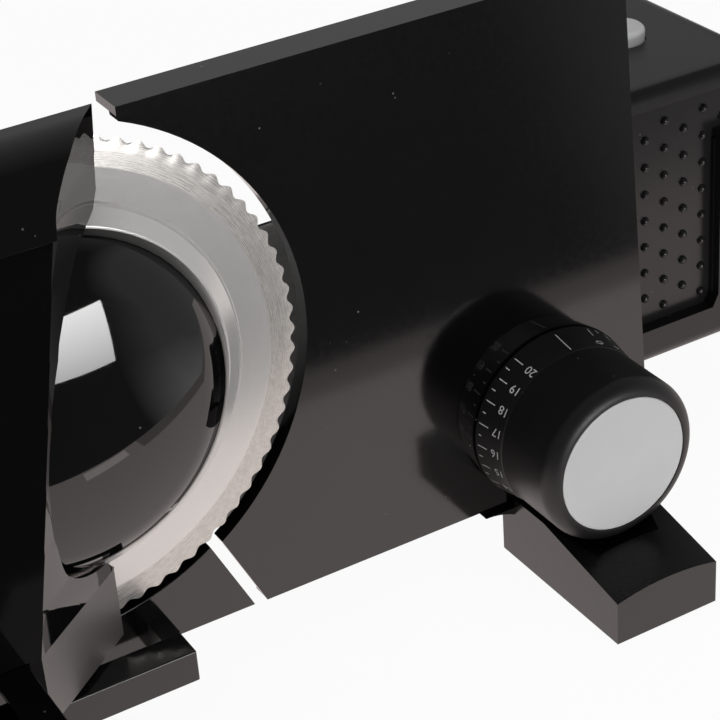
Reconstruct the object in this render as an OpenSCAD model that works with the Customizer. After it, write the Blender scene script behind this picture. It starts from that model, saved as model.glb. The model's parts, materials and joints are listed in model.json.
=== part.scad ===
// Electric food slicer: a scalloped disc blade driven by a worm gear, a gauge plate set by a dial,
// and a carriage with a hand guard that runs along the front.
// Working frame: the blade axis runs along Y through the origin, the cutting edge lies in the plane y = 0,
// the operator stands at -Y and the gauge plate is at +X. place() moves all of it to the part's own frame,
// whose origin is under the middle of the part, on the surface that it stands on.

/* [Blade] */
// Diameter over the teeth
blade_d = 170; // [160:1:176]
// Number of scallops round the edge
blade_teeth = 73; // [48:1:90]
// Depth of one scallop
tooth_depth = 1.6; // [0.6:0.1:2.4]
// Width of the ground bevel, in from the edge
bevel_w = 15; // [8:1:18]
// Height of the raised face in front of the cutting edge
face_rise = 1.9; // [1.4:0.1:2.4]
// Outer diameter of the bright hub ring
ring_d = 128; // [120:1:134]
// Height of the hub ring
ring_h = 3.6; // [2:0.2:5]
// Slope width of the hub ring's tapered face
ring_taper = 5.8; // [3:0.2:8]
// Height of the dome above the hub ring
dome_h = 22.5; // [19:0.5:26]
// Rounding of the dome's shoulder
dome_shoulder_r = 25; // [18:1:26]
// Wall of the dome
dome_wall = 2.5; // [1.5:0.5:4]

/* [Gauge plate] */
// Thickness of the plate
plate_t = 3; // [2:0.5:4]
// Left end of the plate's top edge
plate_left = 34.2; // [28:0.2:44]
// Right end of the plate's top edge
plate_right = 215.2; // [212:0.2:222]
// Lean of the right edge, from top to bottom
plate_lean = 10.2; // [4:0.2:14]
// Height of the plate's top above the blade
plate_rise = 2.2; // [1:0.2:8]
// Depth of the plate's bottom below the blade
plate_drop = 18.5; // [15:0.5:20]
// Gap between the blade and the plate's curved edge
plate_gap = 4.5; // [3:0.5:8]
// Depth of the folded top edge
top_flange = 14; // [8:1:20]
// Depth of the folded side and bottom edges
side_flange = 8; // [5:1:12]
// Depth of the rolled curved edge
arc_lip = 6; // [4:0.5:8]
// Travel of the plate, equal to the thickest slice
plate_travel = 20; // [10:1:24]
// Radius of the plate's guide rods
guide_r = 6; // [4:0.5:8]

/* [Thickness knob] */
// Distance of the knob's axis from the plate's right end
knob_in = 32.2; // [29:0.2:37]
// Depth of the knob below the blade's axis
knob_drop = 72.5; // [66:0.5:74]
// Radius of the scale ring at the plate
scale_r = 33; // [30:0.5:35]
// Radius of the grip at the seam
grip_r = 30.8; // [27:0.2:33]
// Depth of the scale ring
scale_h = 13.7; // [10:0.1:18]
// Depth of the grip in front of the scale ring
grip_h = 28.7; // [20:0.1:34]
// Rounding of the grip's front edge
grip_round = 5.6; // [3:0.2:8]
// Thickness of the pale cap
cap_t = 1.2; // [0.8:0.2:3]
// Radius of the spindle
spindle_r = 6; // [4:0.5:8]

/* [Housing] */
// Left end of the housing
house_left = -125; // [-135:1:-115]
// Right end of the housing
house_right = 308; // [304:1:330]
// Top of the housing above the blade's axis
house_top = 22; // [20:1:30]
// Bottom of the housing below the blade's axis
house_bottom = 92; // [90:1:96]
// Depth of the housing, without its rear cover
house_depth = 90; // [88:1:110]
// Wall of the housing
house_wall = 3.5; // [2.5:0.5:5]
// Rounding of the housing's long edges
house_round = 12; // [6:1:16]
// Rounding of the housing's front edges
house_edge = 6; // [3:1:7]
// Thickness of the rear cover
cover_t = 4; // [3:0.5:6]
// Left side of the dip in the housing's top, beside the blade
dip_left = 70; // [60:1:76]
// Distance of the dip's right side from the plate's right edge
dip_room = 71.2; // [68:0.2:75]
// Depth of the dip at the housing's front
dip_rim = 3; // [2:0.5:6]
// Fall of the dip towards the back, for each millimetre of depth
dip_fall = 0.62; // [0.56:0.02:0.7]
// Room between the folded plate edges and the housing, with the plate right back
plate_room = 2; // [1:0.5:5]
// Height of the blade's axis above the ground
axis_height = 128; // [124:1:136]

/* [Grip recess] */
// Left side of the dotted recess
recess_left = 236; // [234:1:240]
// Right side of its lower part
recess_right = 277.5; // [270:0.5:284]
// Right side of its upper part
recess_far = 296; // [290:1:298]
// Height of the step between both parts, above the blade's axis
recess_step = -4.5; // [-20:0.5:2]
// Bottom of the recess below the blade's axis
recess_bottom = 77; // [60:1:80]
// Depth of the recess
recess_d = 5.5; // [3:0.5:7]
// Radius of one dot
dot_r = 1.7; // [1:0.1:2.4]
// Distance between columns of dots
dot_pitch_x = 8.8; // [6:0.2:12]
// Distance between rows of dots
dot_pitch_z = 10.9; // [7:0.1:14]

/* [Feet] */
// Width of a front foot
foot_w = 42; // [34:1:48]
// Reach of the front feet towards the operator
foot_reach = 64; // [56:1:72]
// Distance of the right foot's left side from the knob's axis
foot_shift = 19; // [13:0.5:25]
// Left side of the left front foot
left_foot_x = -118; // [-119:1:-108]
// Height of a front foot at its nose
foot_nose = 17.5; // [14:0.5:18]
// Width of the web beside the right foot's heel
web_w = 12; // [8:1:14]
// Rise of the right foot's top, from its nose to the plate
foot_rise = 12.5; // [4:0.5:13]
// Crown of the right foot's top across its width
foot_crown = 2.5; // [1:0.5:4]
// Width of a rear foot
rear_foot_w = 40; // [28:1:44]
// Depth of a rear foot, under the housing
rear_foot_l = 44; // [34:1:50]
// Thickness of a rubber pad
pad_t = 3; // [2:0.5:4]
// How far a rubber pad stands out
pad_proud = 1; // [0.5:0.5:1.5]

/* [Carriage] */
// Left end of the carriage
tray_left = -150; // [-156:1:-146]
// Reach of the tray towards the operator
tray_reach = 110; // [106:1:130]
// Height of the tray's surface above the blade's lowest point
tray_rise = 19; // [17:0.5:20]
// Rounding of the tray's front corners
tray_round = 12; // [6:1:20]
// Gap between the tray's right end and the hand guard's skirt
end_gap = 0.8; // [0.6:0.1:0.9]
// Depth of the tray's skirt
tray_skirt = 26; // [20:1:27]
// Wall of the tray
tray_wall = 3; // [2:0.5:4]
// Room between the blade's edge and the tray
tray_room = 3; // [2.5:0.5:5]
// Travel of the carriage
carriage_travel = 120; // [80:5:125]
// Width of the rail
rail_w = 12; // [8:1:14]
// Height of the rail
rail_h = 12; // [8:1:12]
// Gap between the rail and its bushes
rail_gap = 0.3; // [0.2:0.1:0.5]
// Length of the carriage's runner
runner_len = 36; // [24:1:38]

/* [Hand guard] */
// Wall of the hood
hood_wall = 2.5; // [2:0.5:4]
// Height of the hood's top above the blade's axis
hood_top = 91.5; // [88:0.5:100]
// Radius of the hood's rounded top
hood_round = 23; // [16:1:26]
// Step between the rounded top and the front panel
hood_step = 1; // [0.5:0.5:2]
// Room between the hood and the dome
dome_room = 1; // [0.6:0.1:3]
// Room between the side wall and the dome
cut_room = 2.4; // [1.5:0.1:4]
// Thickness of the side wall, along the carriage
side_wall = 4; // [3:0.5:6]
// Travel of the hand guard away from the blade
guard_travel = 70; // [40:1:70]

/* [Drive] */
// Teeth of the worm wheel
wheel_teeth = 24; // [22:2:24]
// Gear module
gear_module = 1.25; // [1.1:0.05:1.25]
// Width of the worm wheel
wheel_w = 10; // [8:1:14]
// Mean radius of the worm
worm_r = 7.3; // [6:0.1:8]
// Room between the worm and the wheel, along the line of centres
mesh_room = 0.8; // [0.7:0.05:1]
// Turns of the worm
worm_turns = 6; // [4:2:8]
// Radius of the blade's shaft
shaft_r = 8; // [6:0.5:9]
// Radius of the motor's shaft
motor_shaft_r = 4; // [3:0.5:5]
// Radius of the motor
motor_r = 28; // [24:1:30]
// Length of the motor
motor_len = 64; // [56:1:66]

/* [Buttons] */
// Radius of a button
button_r = 10; // [8:0.5:11]
// Height of a button above the housing
button_h = 5; // [4:0.5:8]
// Travel of a button
button_travel = 3; // [2:0.5:3.5]
// Place of the start button along the housing
start_x = 268; // [264:1:272]
// Distance between both buttons
button_gap = 30; // [27:1:34]
// Length of a button's spring
spring_len = 14; // [12:1:16]

/* [Fits] */
// Running gap of a shaft in its bush
run_gap = 0.05; // [0.02:0.01:0.1]
// Gap round a piece that is pushed into its seat
seat_gap = 0.1; // [0.05:0.05:0.2]
// Gap between pieces that move past each other
free_gap = 0.4; // [0.3:0.1:0.6]

/* [Hidden] */
$fn = 96;

// Blade and dome
blade_r = blade_d / 2;
ring_r = ring_d / 2;
dome_foot_r = ring_r - ring_taper;
ring_top = face_rise + ring_h;
dome_top = ring_top + dome_h;
blade_back = 0.6;
back_grind = 3;
bevel_rise = 1.1;
blade_bore_r = 12;
spigot_r = dome_foot_r - 8;
shoulder_sink = 8;
screw_circle_r = 30;
flange_r = screw_circle_r + 6;
flange_t = 4;

// Gauge plate
plate_top = blade_r + plate_rise;
plate_bottom = blade_r + plate_drop;
arc_r = blade_r + plate_gap;
split_angle = -55.2;
split_top = (arc_r - 0.5) * [cos(split_angle), sin(split_angle)];
split_lean = 14.2;
split_x = split_top[0] + split_lean;
split_gap = 4.6;
knob_x = plate_right - knob_in;
knob_z = -knob_drop;
rod_places = [[plate_right - 43.2, 6], [plate_right - 10.2, -35]];
rod_foot_r = guide_r + 4;
rod_foot_t = 4;
bush_wall = 3;
bush_len = 18;

// Knob
knob_front = scale_h + grip_h;
cap_r = grip_r - grip_round;
knob_room = 1.5;
collar_r = spindle_r + 4;
collar_t = 4;
nut_r = spindle_r + 6;
nut_len = 15;
grip_bore_end = knob_front - 6;

// Housing
house_front = plate_travel + side_flange + plate_room;
house_back = house_front + house_depth;
cover_back = house_back + cover_t;
inlet_r = 8;
inlet_bore_r = 3.5;
inlet_len = 6;
inlet_place = [250, -68];
inner_floor = -house_bottom + house_wall;
inner_top = house_top - house_wall;
inner_front = house_front + house_wall;
pad_back = house_front + recess_d + house_wall;
recess_top = house_top - 8;
recess_chamfer = 5;
recess_rim = 4;
boss_r = shaft_r + 14;
boss_front = flange_t + blade_back + 3;
bush_r = shaft_r + 5;
rear_boss_r = bush_r + 4;
rear_bush_front = house_back - 22;
dip_right = plate_right - dip_room;
rear_bush_len = 16;
vent_len = 40;
vent_w = 4;
vent_pitch = 9;
vent_count = 9;
cover_screw_in = 9;
cover_screw_r = 3.6;
cover_screw_head = 2;
cover_screw_ends = [house_left + cover_screw_in, house_right - cover_screw_in];
top_screw_xs = concat(cover_screw_ends, [dip_left - cover_screw_in, dip_right + cover_screw_in]);
low_screw_xs = concat(cover_screw_ends, [(house_left + house_right) / 2]);
cover_screw_places = concat(
  [for (x = top_screw_xs) [x, house_top - cover_screw_in]],
  [for (x = low_screw_xs) [x, -house_bottom + cover_screw_in]]);

// Feet and ground
ground = -axis_height;
right_foot_x = knob_x - foot_shift;
foot_bottom = ground + pad_proud;
foot_step_y = -2.5;
foot_ledge = -plate_bottom - 1.5;
foot_heel = 5.4;
web_round = 26;
foot_arm_back = house_front + 30;
foot_arm_front = house_front + 5;
foot_arm_bottom = foot_ledge - 7;
nose_top = ground + foot_nose + pad_proud - 0.5;
pad_in = 6;
rear_foot_xs = [house_left + 28, house_right - 30];
rear_foot_front = house_back - rear_foot_l;
rear_foot_toe = 12;
rear_foot_heel = 4;

// Carriage
tray_top = tray_rise - blade_r;
tray_bottom = tray_top - tray_skirt;
rail_top = tray_bottom - 2;
rail_bottom = rail_top - rail_h;
rail_back = -10;
rail_front = rail_back - rail_w;
bracket_w = 7;
runner_left = tray_left + bracket_w + 3;
rail_right = runner_left + runner_len + carriage_travel + bracket_w + 5;
runner_wall = 5;
bush_skin = 1.5;
slot_xs = [-85, -45];
slot_w = 6;
slot_back = -10;
keel_len = 16;
keel_t = 2;
front_plate_top = -50;
post_r = 4;
post_ring_r = blade_r + plate_gap / 2 + plate_t + post_r + 1;
post_places = [[-115, -70], post_ring_r * [cos(235), sin(235)], post_ring_r * [cos(-63), sin(-63)]];

// Hand guard
edge_room = 0.8;
ring_room = 1;
hood_front = -(dome_top + dome_room + hood_wall);
hood_back = -(face_rise + edge_room);
hood_left = tray_left + 2;
slot_front = hood_front - guard_travel - 1.5;
hood_foot = tray_top + free_gap;
hood_ledge = hood_top - hood_round;
guard_top_back = 26.2;
guard_top_front = 2.2;
guard_foot_back = 11.4;
guard_foot_front = -26;
guard_levels = 8;
waist_x = guard_foot_front - side_wall - end_gap;
end_lean = (guard_foot_back - guard_foot_front) / (hood_back - hood_front);
guard_over = 4;

// Drive
wheel_r = gear_module * wheel_teeth / 2;
gear_pitch = PI * gear_module;
tooth_wave = 0.64 * gear_module;
motor_y = house_front + house_depth / 2;
motor_z = -(wheel_r + worm_r + mesh_room);
shaft_end = rear_bush_front + rear_bush_len - 2;
worm_len = worm_turns * gear_pitch;
motor_wall = 3;
armature_r = motor_r - motor_wall - 3;
armature_in = 14;
fan_r = motor_r - 4;
fan_gap = 4;
fan_w = 9;
fan_blades = 9;
motor_shaft_left = house_left + house_wall + 2;
fan_left = motor_shaft_left + 3;
motor_left = fan_left + fan_w + fan_gap;
motor_right = motor_left + motor_len;
bearing_left = 32;
bearing_w = 8;
bearing_half = 10;
cradle_w = 10;
cradle_half = motor_r - 4;

// Buttons
lock_x = start_x - button_gap;
button_y = house_front + house_depth / 2;
button_flange_top = inner_top - free_gap;
button_flange_t = 2;
button_flange_r = button_r + 2;
stem_r = 3.5;
spring_top = button_flange_top - button_flange_t;
shelf_top = spring_top - spring_len;
shelf_t = 3;
shelf_half = 14;
stem_end = shelf_top + button_travel + 0.5;
spring_r = 5.6;
spring_wire_r = 0.7;
spring_coils = 5;
switch_h = 12;
switch_half_x = 9;
switch_half_y = 5;
plunger_r = 2;

// Middle of the part, for its own frame
part_left = tray_left;
part_right = house_right;
part_front = -tray_reach;
part_back = cover_back + inlet_len;
middle_x = (part_left + part_right) / 2;
middle_y = (part_front + part_back) / 2;

// Moves the working frame to the part's own frame
module place() translate([-middle_x, -middle_y, -ground]) children();

// A flat outline in x and z, drawn out along Y from y0 to y1
module along_y(y0, y1) translate([0, y1, 0]) rotate([90, 0, 0]) linear_extrude(y1 - y0) children();

// A flat outline in y and z, drawn out along X from x0 to x1
module along_x(x0, x1) translate([x0, 0, 0]) rotate([90, 0, 90]) linear_extrude(x1 - x0) children();

// A profile of radius and height in front of the edge plane, turned about the blade's axis
module turn_y() rotate([90, 0, 0]) rotate_extrude() children();

// Round bars along the three axes
module rod_y(r, y0, y1) translate([0, y1, 0]) rotate([90, 0, 0]) cylinder(r = r, h = y1 - y0);
module rod_x(r, x0, x1) translate([x0, 0, 0]) rotate([0, 90, 0]) cylinder(r = r, h = x1 - x0);
module rod_z(r, z0, z1) translate([0, 0, z0]) cylinder(r = r, h = z1 - z0);

// A block between two corners
module block(low, high) translate(low) cube(high - low);

// A rectangle with round corners, given by its sides
module round_rect(x0, x1, z0, z1, r) {
  translate([x0 + r, z0]) square([x1 - x0 - 2 * r, z1 - z0]);
  translate([x0, z0 + r]) square([x1 - x0, z1 - z0 - 2 * r]);
  for (x = [x0 + r, x1 - r], z = [z0 + r, z1 - r]) translate([x, z]) circle(r);
}

// Points of an arc about a centre
function arc_points(centre, r, from, to, steps) =
  [for (i = [0 : steps]) let (t = from + (to - from) * i / steps) centre + r * [cos(t), sin(t)]];

// Wave round a circle, for teeth
function wave_points(r, depth, count, per_tooth, start) =
  [for (i = [0 : count * per_tooth - 1])
    let (t = 360 * i / (count * per_tooth), q = r - depth / 2 * (1 + cos(count * (t - start))))
      q * [cos(t), sin(t)]];

// Dome outline from its foot to its top: a shoulder arc that runs into a flatter crown arc
function dome_outline(foot_r, h, shoulder) =
  let (sink = shoulder_sink,
       c = foot_r - sqrt(shoulder * shoulder - sink * sink),
       k = -sink - h,
       crown = (shoulder * shoulder - c * c - k * k) / (2 * (k + shoulder)),
       meet = atan2(crown - h - sink, c))
  concat(arc_points([c, -sink], shoulder, asin(sink / shoulder), meet, 8),
         arc_points([0, h - crown], crown, meet, 90, 10));

// Blade group
module blade_disc() {
  color("gainsboro") place() intersection() {
    turn_y() polygon([
      [blade_bore_r, -blade_back], [blade_r - back_grind, -blade_back], [blade_r + 1, 0],
      [blade_r - bevel_w, bevel_rise], [ring_r + 0.5, face_rise], [blade_bore_r, face_rise]]);
    along_y(-dome_top, blade_back + 1) polygon(wave_points(blade_r, tooth_depth, blade_teeth, 6, 0));
  }
}

module hub_ring() {
  color("silver") place() turn_y() polygon([
    [spigot_r + seat_gap, face_rise], [ring_r, face_rise],
    [dome_foot_r, ring_top], [spigot_r + seat_gap, ring_top]]);
}

module dome_cover() {
  color("black") place() turn_y() {
    translate([0, ring_top]) difference() {
      polygon(concat([[0, 0]], dome_outline(dome_foot_r, dome_h, dome_shoulder_r)));
      polygon(concat([[0, -1], [dome_foot_r - dome_wall, -1]],
                     dome_outline(dome_foot_r - dome_wall, dome_h - dome_wall, dome_shoulder_r - dome_wall)));
    }
    translate([spigot_r - dome_wall, face_rise]) square([dome_wall, ring_h]);
    translate([spigot_r - dome_wall, ring_top]) square([dome_foot_r - spigot_r + dome_wall, dome_wall / 2]);
  }
}

module blade_shaft() {
  color("gray") place() {
    rod_y(flange_r, blade_back, blade_back + flange_t);
    rod_y(blade_bore_r - seat_gap, -face_rise, blade_back + flange_t);
    rod_y(shaft_r, blade_back, shaft_end);
  }
}

module blade_screws() {
  color("dimgray") place() for (t = [90, 210, 330])
    translate([screw_circle_r * cos(t), 0, screw_circle_r * sin(t)]) rod_y(4, -face_rise - 3, -face_rise);
}

module worm_wheel() {
  color("wheat") place() difference() {
    along_y(motor_y - wheel_w / 2, motor_y + wheel_w / 2)
      polygon(wave_points(wheel_r + tooth_wave, 2 * tooth_wave, wheel_teeth, 8, -90));
    rod_y(shaft_r, motor_y - wheel_w, motor_y + wheel_w);
  }
}

// Motor group
module motor_line() translate([0, motor_y, motor_z]) children();

module motor_shaft() {
  color("gray") place() motor_line() {
    rod_x(motor_shaft_r, motor_shaft_left, -worm_len / 2);
    rod_x(motor_shaft_r, worm_len / 2, bearing_left + bearing_w);
    rod_x(motor_shaft_r - seat_gap, -worm_len / 2 - 1, worm_len / 2 + 1);
  }
}

module worm() {
  color("goldenrod") place() motor_line() difference() {
    rotate([0, 90, 0])
      linear_extrude(worm_len, center = true, twist = 360 * worm_turns, slices = 12 * worm_turns, $fn = 16)
        translate([-tooth_wave, 0]) circle(worm_r);
    rod_x(motor_shaft_r - seat_gap, -worm_len, worm_len);
  }
}

module armature() {
  color("peru") place() motor_line() difference() {
    rod_x(armature_r, motor_left + armature_in, motor_right - armature_in);
    rod_x(motor_shaft_r, motor_left, motor_right);
  }
}

module cooling_fan() {
  color("white") place() motor_line() difference() {
    union() {
      rod_x(fan_r, fan_left + fan_w - 2, fan_left + fan_w);
      rod_x(motor_shaft_r + 4, fan_left, fan_left + fan_w);
      for (i = [0 : fan_blades - 1]) rotate([360 * i / fan_blades, 0, 0])
        block([fan_left, -1, motor_shaft_r + 2], [fan_left + fan_w, 1, fan_r - 1]);
    }
    rod_x(motor_shaft_r, motor_shaft_left - 1, motor_left);
  }
}

// Gauge plate group
module plate_outline() polygon([
  [plate_left, plate_top], [plate_right, plate_top], [plate_right + plate_lean, -plate_bottom],
  [split_x, -plate_bottom], split_top]);

module plate_edge() {
  intersection() {
    plate_outline();
    difference() {
      circle(arc_r + plate_t);
      circle(arc_r);
    }
  }
}

module plate_side_strip() polygon([
  [plate_right - plate_t, plate_top], [plate_right, plate_top],
  [plate_right + plate_lean, -plate_bottom], [plate_right + plate_lean - plate_t, -plate_bottom]]);

module gauge_plate() {
  color([0.05, 0.05, 0.05]) place() difference() {
    union() {
      along_y(0, plate_t) difference() {
        plate_outline();
        circle(arc_r);
      }
      along_y(0, arc_lip) plate_edge();
      along_y(0, top_flange) difference() {
        translate([plate_left, plate_top - plate_t]) square([plate_right - plate_left, plate_t]);
        circle(arc_r);
      }
      along_y(0, side_flange) plate_side_strip();
      along_y(0, side_flange)
        translate([split_x, -plate_bottom]) square([plate_right + plate_lean - split_x, plate_t]);
    }
    translate([knob_x, 0, knob_z]) rod_y(spindle_r + run_gap, -1, plate_t + 1);
  }
}

module guide_rods() {
  color("lightgray") place() for (p = rod_places) translate([p[0], 0, p[1]]) {
    rod_y(guide_r, plate_t, inner_front + bush_len + 6);
    rod_y(rod_foot_r, plate_t, plate_t + rod_foot_t);
  }
}

// Knob group
module knob_line() translate([knob_x, 0, knob_z]) children();

module scale_ring() {
  color([0.06, 0.06, 0.06]) place() knob_line() turn_y() polygon([
    [spindle_r + seat_gap, free_gap], [scale_r, free_gap],
    [grip_r, scale_h], [spindle_r + seat_gap, scale_h]]);
}

module knob_grip() {
  color([0.08, 0.08, 0.08]) place() knob_line() turn_y() difference() {
    polygon(concat(
      [[0, scale_h], [grip_r, scale_h]],
      arc_points([cap_r, knob_front - grip_round], grip_round, 0, 90, 10),
      [[0, knob_front]]));
    translate([0, knob_front - cap_t]) square([cap_r, cap_t + 1]);
    translate([0, scale_h - 1]) square([spindle_r + seat_gap, grip_bore_end - scale_h + 1]);
  }
}

module knob_cap() {
  color("lightgray") place() knob_line() rod_y(cap_r - seat_gap, -knob_front, -knob_front + cap_t);
}

module spindle() {
  color("gray") place() knob_line() {
    rod_y(spindle_r, -grip_bore_end, inner_front + nut_len + 6);
    rod_y(collar_r, plate_t + free_gap, plate_t + free_gap + collar_t);
  }
}

// Housing group
module house_outline(inset) round_rect(
  house_left + inset, house_right - inset, -house_bottom + inset, house_top - inset, house_round - inset);

// Side view of the housing, round at its front edges
module house_side() {
  r = house_edge;
  translate([house_front + r, -house_bottom]) square([house_depth - r + 1, house_top + house_bottom]);
  translate([house_front, -house_bottom + r]) square([house_depth, house_top + house_bottom - 2 * r]);
  for (z = [-house_bottom + r, house_top - r]) translate([house_front + r, z]) circle(r);
}

// Dip in the housing's top, falling towards the back; grow widens it by a wall
function dip_z(y) = house_top - dip_rim - dip_fall * (y - house_front);

module dip(grow) {
  lower = grow * sqrt(1 + dip_fall * dip_fall);
  y0 = house_front - 1;
  y1 = cover_back + 1;
  along_x(dip_left - grow, dip_right + grow) polygon([
    [y0, dip_z(y0) - lower], [y1, dip_z(y1) - lower], [y1, house_top + 1], [y0, house_top + 1]]);
}

module recess_outline(grow) polygon([
  [recess_left - grow, -recess_bottom - grow],
  [recess_right - recess_chamfer + grow, -recess_bottom - grow],
  [recess_right + grow, -recess_bottom + recess_chamfer - grow],
  [recess_right + grow, recess_step - grow],
  [recess_far + grow, recess_step - grow],
  [recess_far + grow, recess_top + grow],
  [recess_left - grow, recess_top + grow]]);

function dot_columns() = floor((recess_far - recess_left - 2 * recess_rim - dot_r) / dot_pitch_x);
function dot_rows() = floor((recess_top + recess_bottom - 2 * recess_rim) / dot_pitch_z);
function dot_reach(z) = z > recess_step + recess_rim ? recess_far - recess_rim : recess_right - recess_rim;

// Staggered dots on the floor of the recess
module dots() {
  for (i = [0 : dot_columns()], j = [0 : dot_rows()])
    let (x = recess_left + recess_rim + dot_r + i * dot_pitch_x,
         z = -recess_bottom + recess_rim + dot_r + (j + (i % 2) / 2) * dot_pitch_z)
      if (x < dot_reach(z) && z < recess_top - recess_rim)
        translate([x, house_front + recess_d, z]) sphere(dot_r, $fn = 32);
}

module housing() {
  color([0.07, 0.07, 0.07]) place() {
    difference() {
      union() {
        difference() {
          intersection() {
            along_y(house_front, house_back) house_outline(0);
            along_x(house_left, house_right) house_side();
          }
          difference() {
            along_y(inner_front, house_back + 1) house_outline(house_wall);
            dip(house_wall);
          }
          dip(0);
        }
        rod_y(boss_r, boss_front, inner_front);
        along_y(inner_front - 1, pad_back) recess_outline(house_wall);
      }
      along_y(house_front - 1, house_front + recess_d) recess_outline(0);
      rod_y(bush_r + seat_gap, boss_front - 1, inner_front + 1);
      for (p = rod_places) translate([p[0], 0, p[1]])
        rod_y(guide_r + bush_wall + seat_gap, house_front - 1, inner_front + 1);
      knob_line() rod_y(spindle_r + 2, house_front - 1, inner_front + 1);
      for (x = [start_x, lock_x]) translate([x, button_y, 0])
        rod_z(button_r + free_gap, inner_top - 1, house_top + 1);
    }
    dots();
  }
}

module rear_cover() {
  color([0.09, 0.09, 0.09]) place() difference() {
    union() {
      difference() {
        along_y(house_back, cover_back) house_outline(0);
        dip(0);
      }
      rod_y(rear_boss_r, rear_bush_front, house_back);
    }
    rod_y(bush_r + seat_gap, rear_bush_front - 1, rear_bush_front + rear_bush_len);
    for (i = [0 : vent_count - 1])
      along_y(house_back - 1, cover_back + 1) translate([motor_left + i * vent_pitch, motor_z])
        round_rect(0, vent_w, -vent_len / 2, vent_len / 2, vent_w / 2 - 0.01);
    translate([inlet_place[0], 0, inlet_place[1]]) rod_y(inlet_bore_r, house_back - 1, cover_back + 1);
  }
}

module cover_screws() {
  socket_h = 2;
  color("dimgray") place() for (p = cover_screw_places) translate([p[0], 0, p[1]]) difference() {
    rod_y(cover_screw_r, cover_back, cover_back + cover_screw_head);
    translate([0, cover_back + cover_screw_head + 1, 0]) rotate([90, 0, 0])
      cylinder(r = cover_screw_r * 0.45, h = socket_h, $fn = 6);
  }
}

module cable_inlet() {
  color([0.05, 0.05, 0.05]) place() translate([inlet_place[0], 0, inlet_place[1]]) difference() {
    rod_y(inlet_r, cover_back, cover_back + inlet_len);
    rod_y(inlet_bore_r, cover_back - 1, cover_back + inlet_len + 1);
  }
}

module front_outline() polygon([
  [tray_left, -plate_bottom], [split_x - split_gap, -plate_bottom],
  [split_top[0] - split_gap, split_top[1]], [0, front_plate_top], [tray_left, front_plate_top]]);

module front_plate() {
  color([0.06, 0.06, 0.06]) place() {
    along_y(0, plate_t) difference() {
      front_outline();
      circle(blade_r + plate_gap / 2);
    }
    along_y(0, arc_lip) intersection() {
      front_outline();
      difference() {
        circle(blade_r + plate_gap / 2 + plate_t);
        circle(blade_r + plate_gap / 2);
      }
    }
    for (p = post_places) translate([p[0], 0, p[1]]) rod_y(post_r, plate_t, house_front);
  }
}

// Feet
module foot_heel_part(x0) {
  along_x(x0, x0 + foot_w) polygon([
    [foot_step_y, foot_bottom], [foot_heel, foot_bottom], [foot_heel, foot_arm_bottom],
    [foot_arm_back, foot_arm_bottom], [foot_arm_back, -house_bottom], [foot_arm_front, -house_bottom],
    [foot_arm_front, foot_ledge], [foot_step_y, foot_ledge]]);
}

module foot_pocket(x0) block(
  [x0 + pad_in, -foot_reach + pad_in, foot_bottom - 1],
  [x0 + foot_w - pad_in, foot_step_y, ground + pad_t]);

// The right foot's top slopes up towards the plate, is crowned across and is hollowed out under the knob
module right_foot() {
  run = foot_reach + foot_step_y;
  slope = atan2(foot_rise, run);
  crown_r = foot_w * foot_w / (8 * foot_crown);
  color([0.1, 0.1, 0.1]) place() difference() {
    union() {
      intersection() {
        block([right_foot_x, -foot_reach, foot_bottom], [right_foot_x + foot_w, foot_step_y, 0]);
        translate([right_foot_x + foot_w / 2, -foot_reach, nose_top + foot_crown]) rotate([slope, 0, 0])
          translate([0, 0, -crown_r]) rod_y(crown_r, -run, 3 * run);
      }
      foot_heel_part(right_foot_x);
      along_y(foot_step_y, foot_heel) difference() {
        translate([right_foot_x - web_w, foot_ledge - web_w / 2]) square([web_w + 1, web_w / 2]);
        translate([right_foot_x - web_w, foot_ledge - web_round]) circle(web_round);
      }
    }
    foot_pocket(right_foot_x);
    knob_line() rod_y(scale_r + knob_room, -knob_front - knob_room, plate_travel + knob_room);
  }
}

module left_foot() {
  color([0.1, 0.1, 0.1]) place() difference() {
    union() {
      along_x(left_foot_x, left_foot_x + foot_w) polygon([
        [-foot_reach, foot_bottom], [-foot_reach, foot_bottom + foot_nose - 3],
        [-foot_reach + 5, foot_arm_bottom], [foot_step_y, foot_arm_bottom], [foot_step_y, foot_bottom]]);
      foot_heel_part(left_foot_x);
    }
    foot_pocket(left_foot_x);
  }
}

// Room for a rear foot's pad, smaller by gap on each side
module rear_pad(x, gap, low) block(
  [x - rear_foot_w / 2 + pad_in + gap, rear_foot_front + rear_foot_toe + pad_in + gap, low],
  [x + rear_foot_w / 2 - pad_in - gap, house_back - rear_foot_heel - pad_in - gap, ground + pad_t]);

module rear_feet() {
  color([0.1, 0.1, 0.1]) place() for (x = rear_foot_xs) difference() {
    along_x(x - rear_foot_w / 2, x + rear_foot_w / 2) polygon([
      [rear_foot_front, -house_bottom], [house_back, -house_bottom],
      [house_back - rear_foot_heel, foot_bottom], [rear_foot_front + rear_foot_toe, foot_bottom]]);
    rear_pad(x, 0, foot_bottom - 1);
  }
}

module foot_pads() {
  color([0.2, 0.2, 0.2]) place() {
    for (x = [right_foot_x, left_foot_x]) block(
      [x + pad_in + seat_gap, -foot_reach + pad_in + seat_gap, ground],
      [x + foot_w - pad_in - seat_gap, foot_step_y - seat_gap, ground + pad_t]);
    for (x = rear_foot_xs) rear_pad(x, seat_gap, ground);
  }
}

// Rail of the carriage
module rail() {
  color("silver") place() block([tray_left, rail_front, rail_bottom], [rail_right, rail_back, rail_top]);
}

module rail_brackets() {
  color([0.1, 0.1, 0.1]) place() for (x = [tray_left, rail_right - bracket_w])
    block([x, rail_back, rail_bottom], [x + bracket_w, 0, rail_top]);
}

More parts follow.
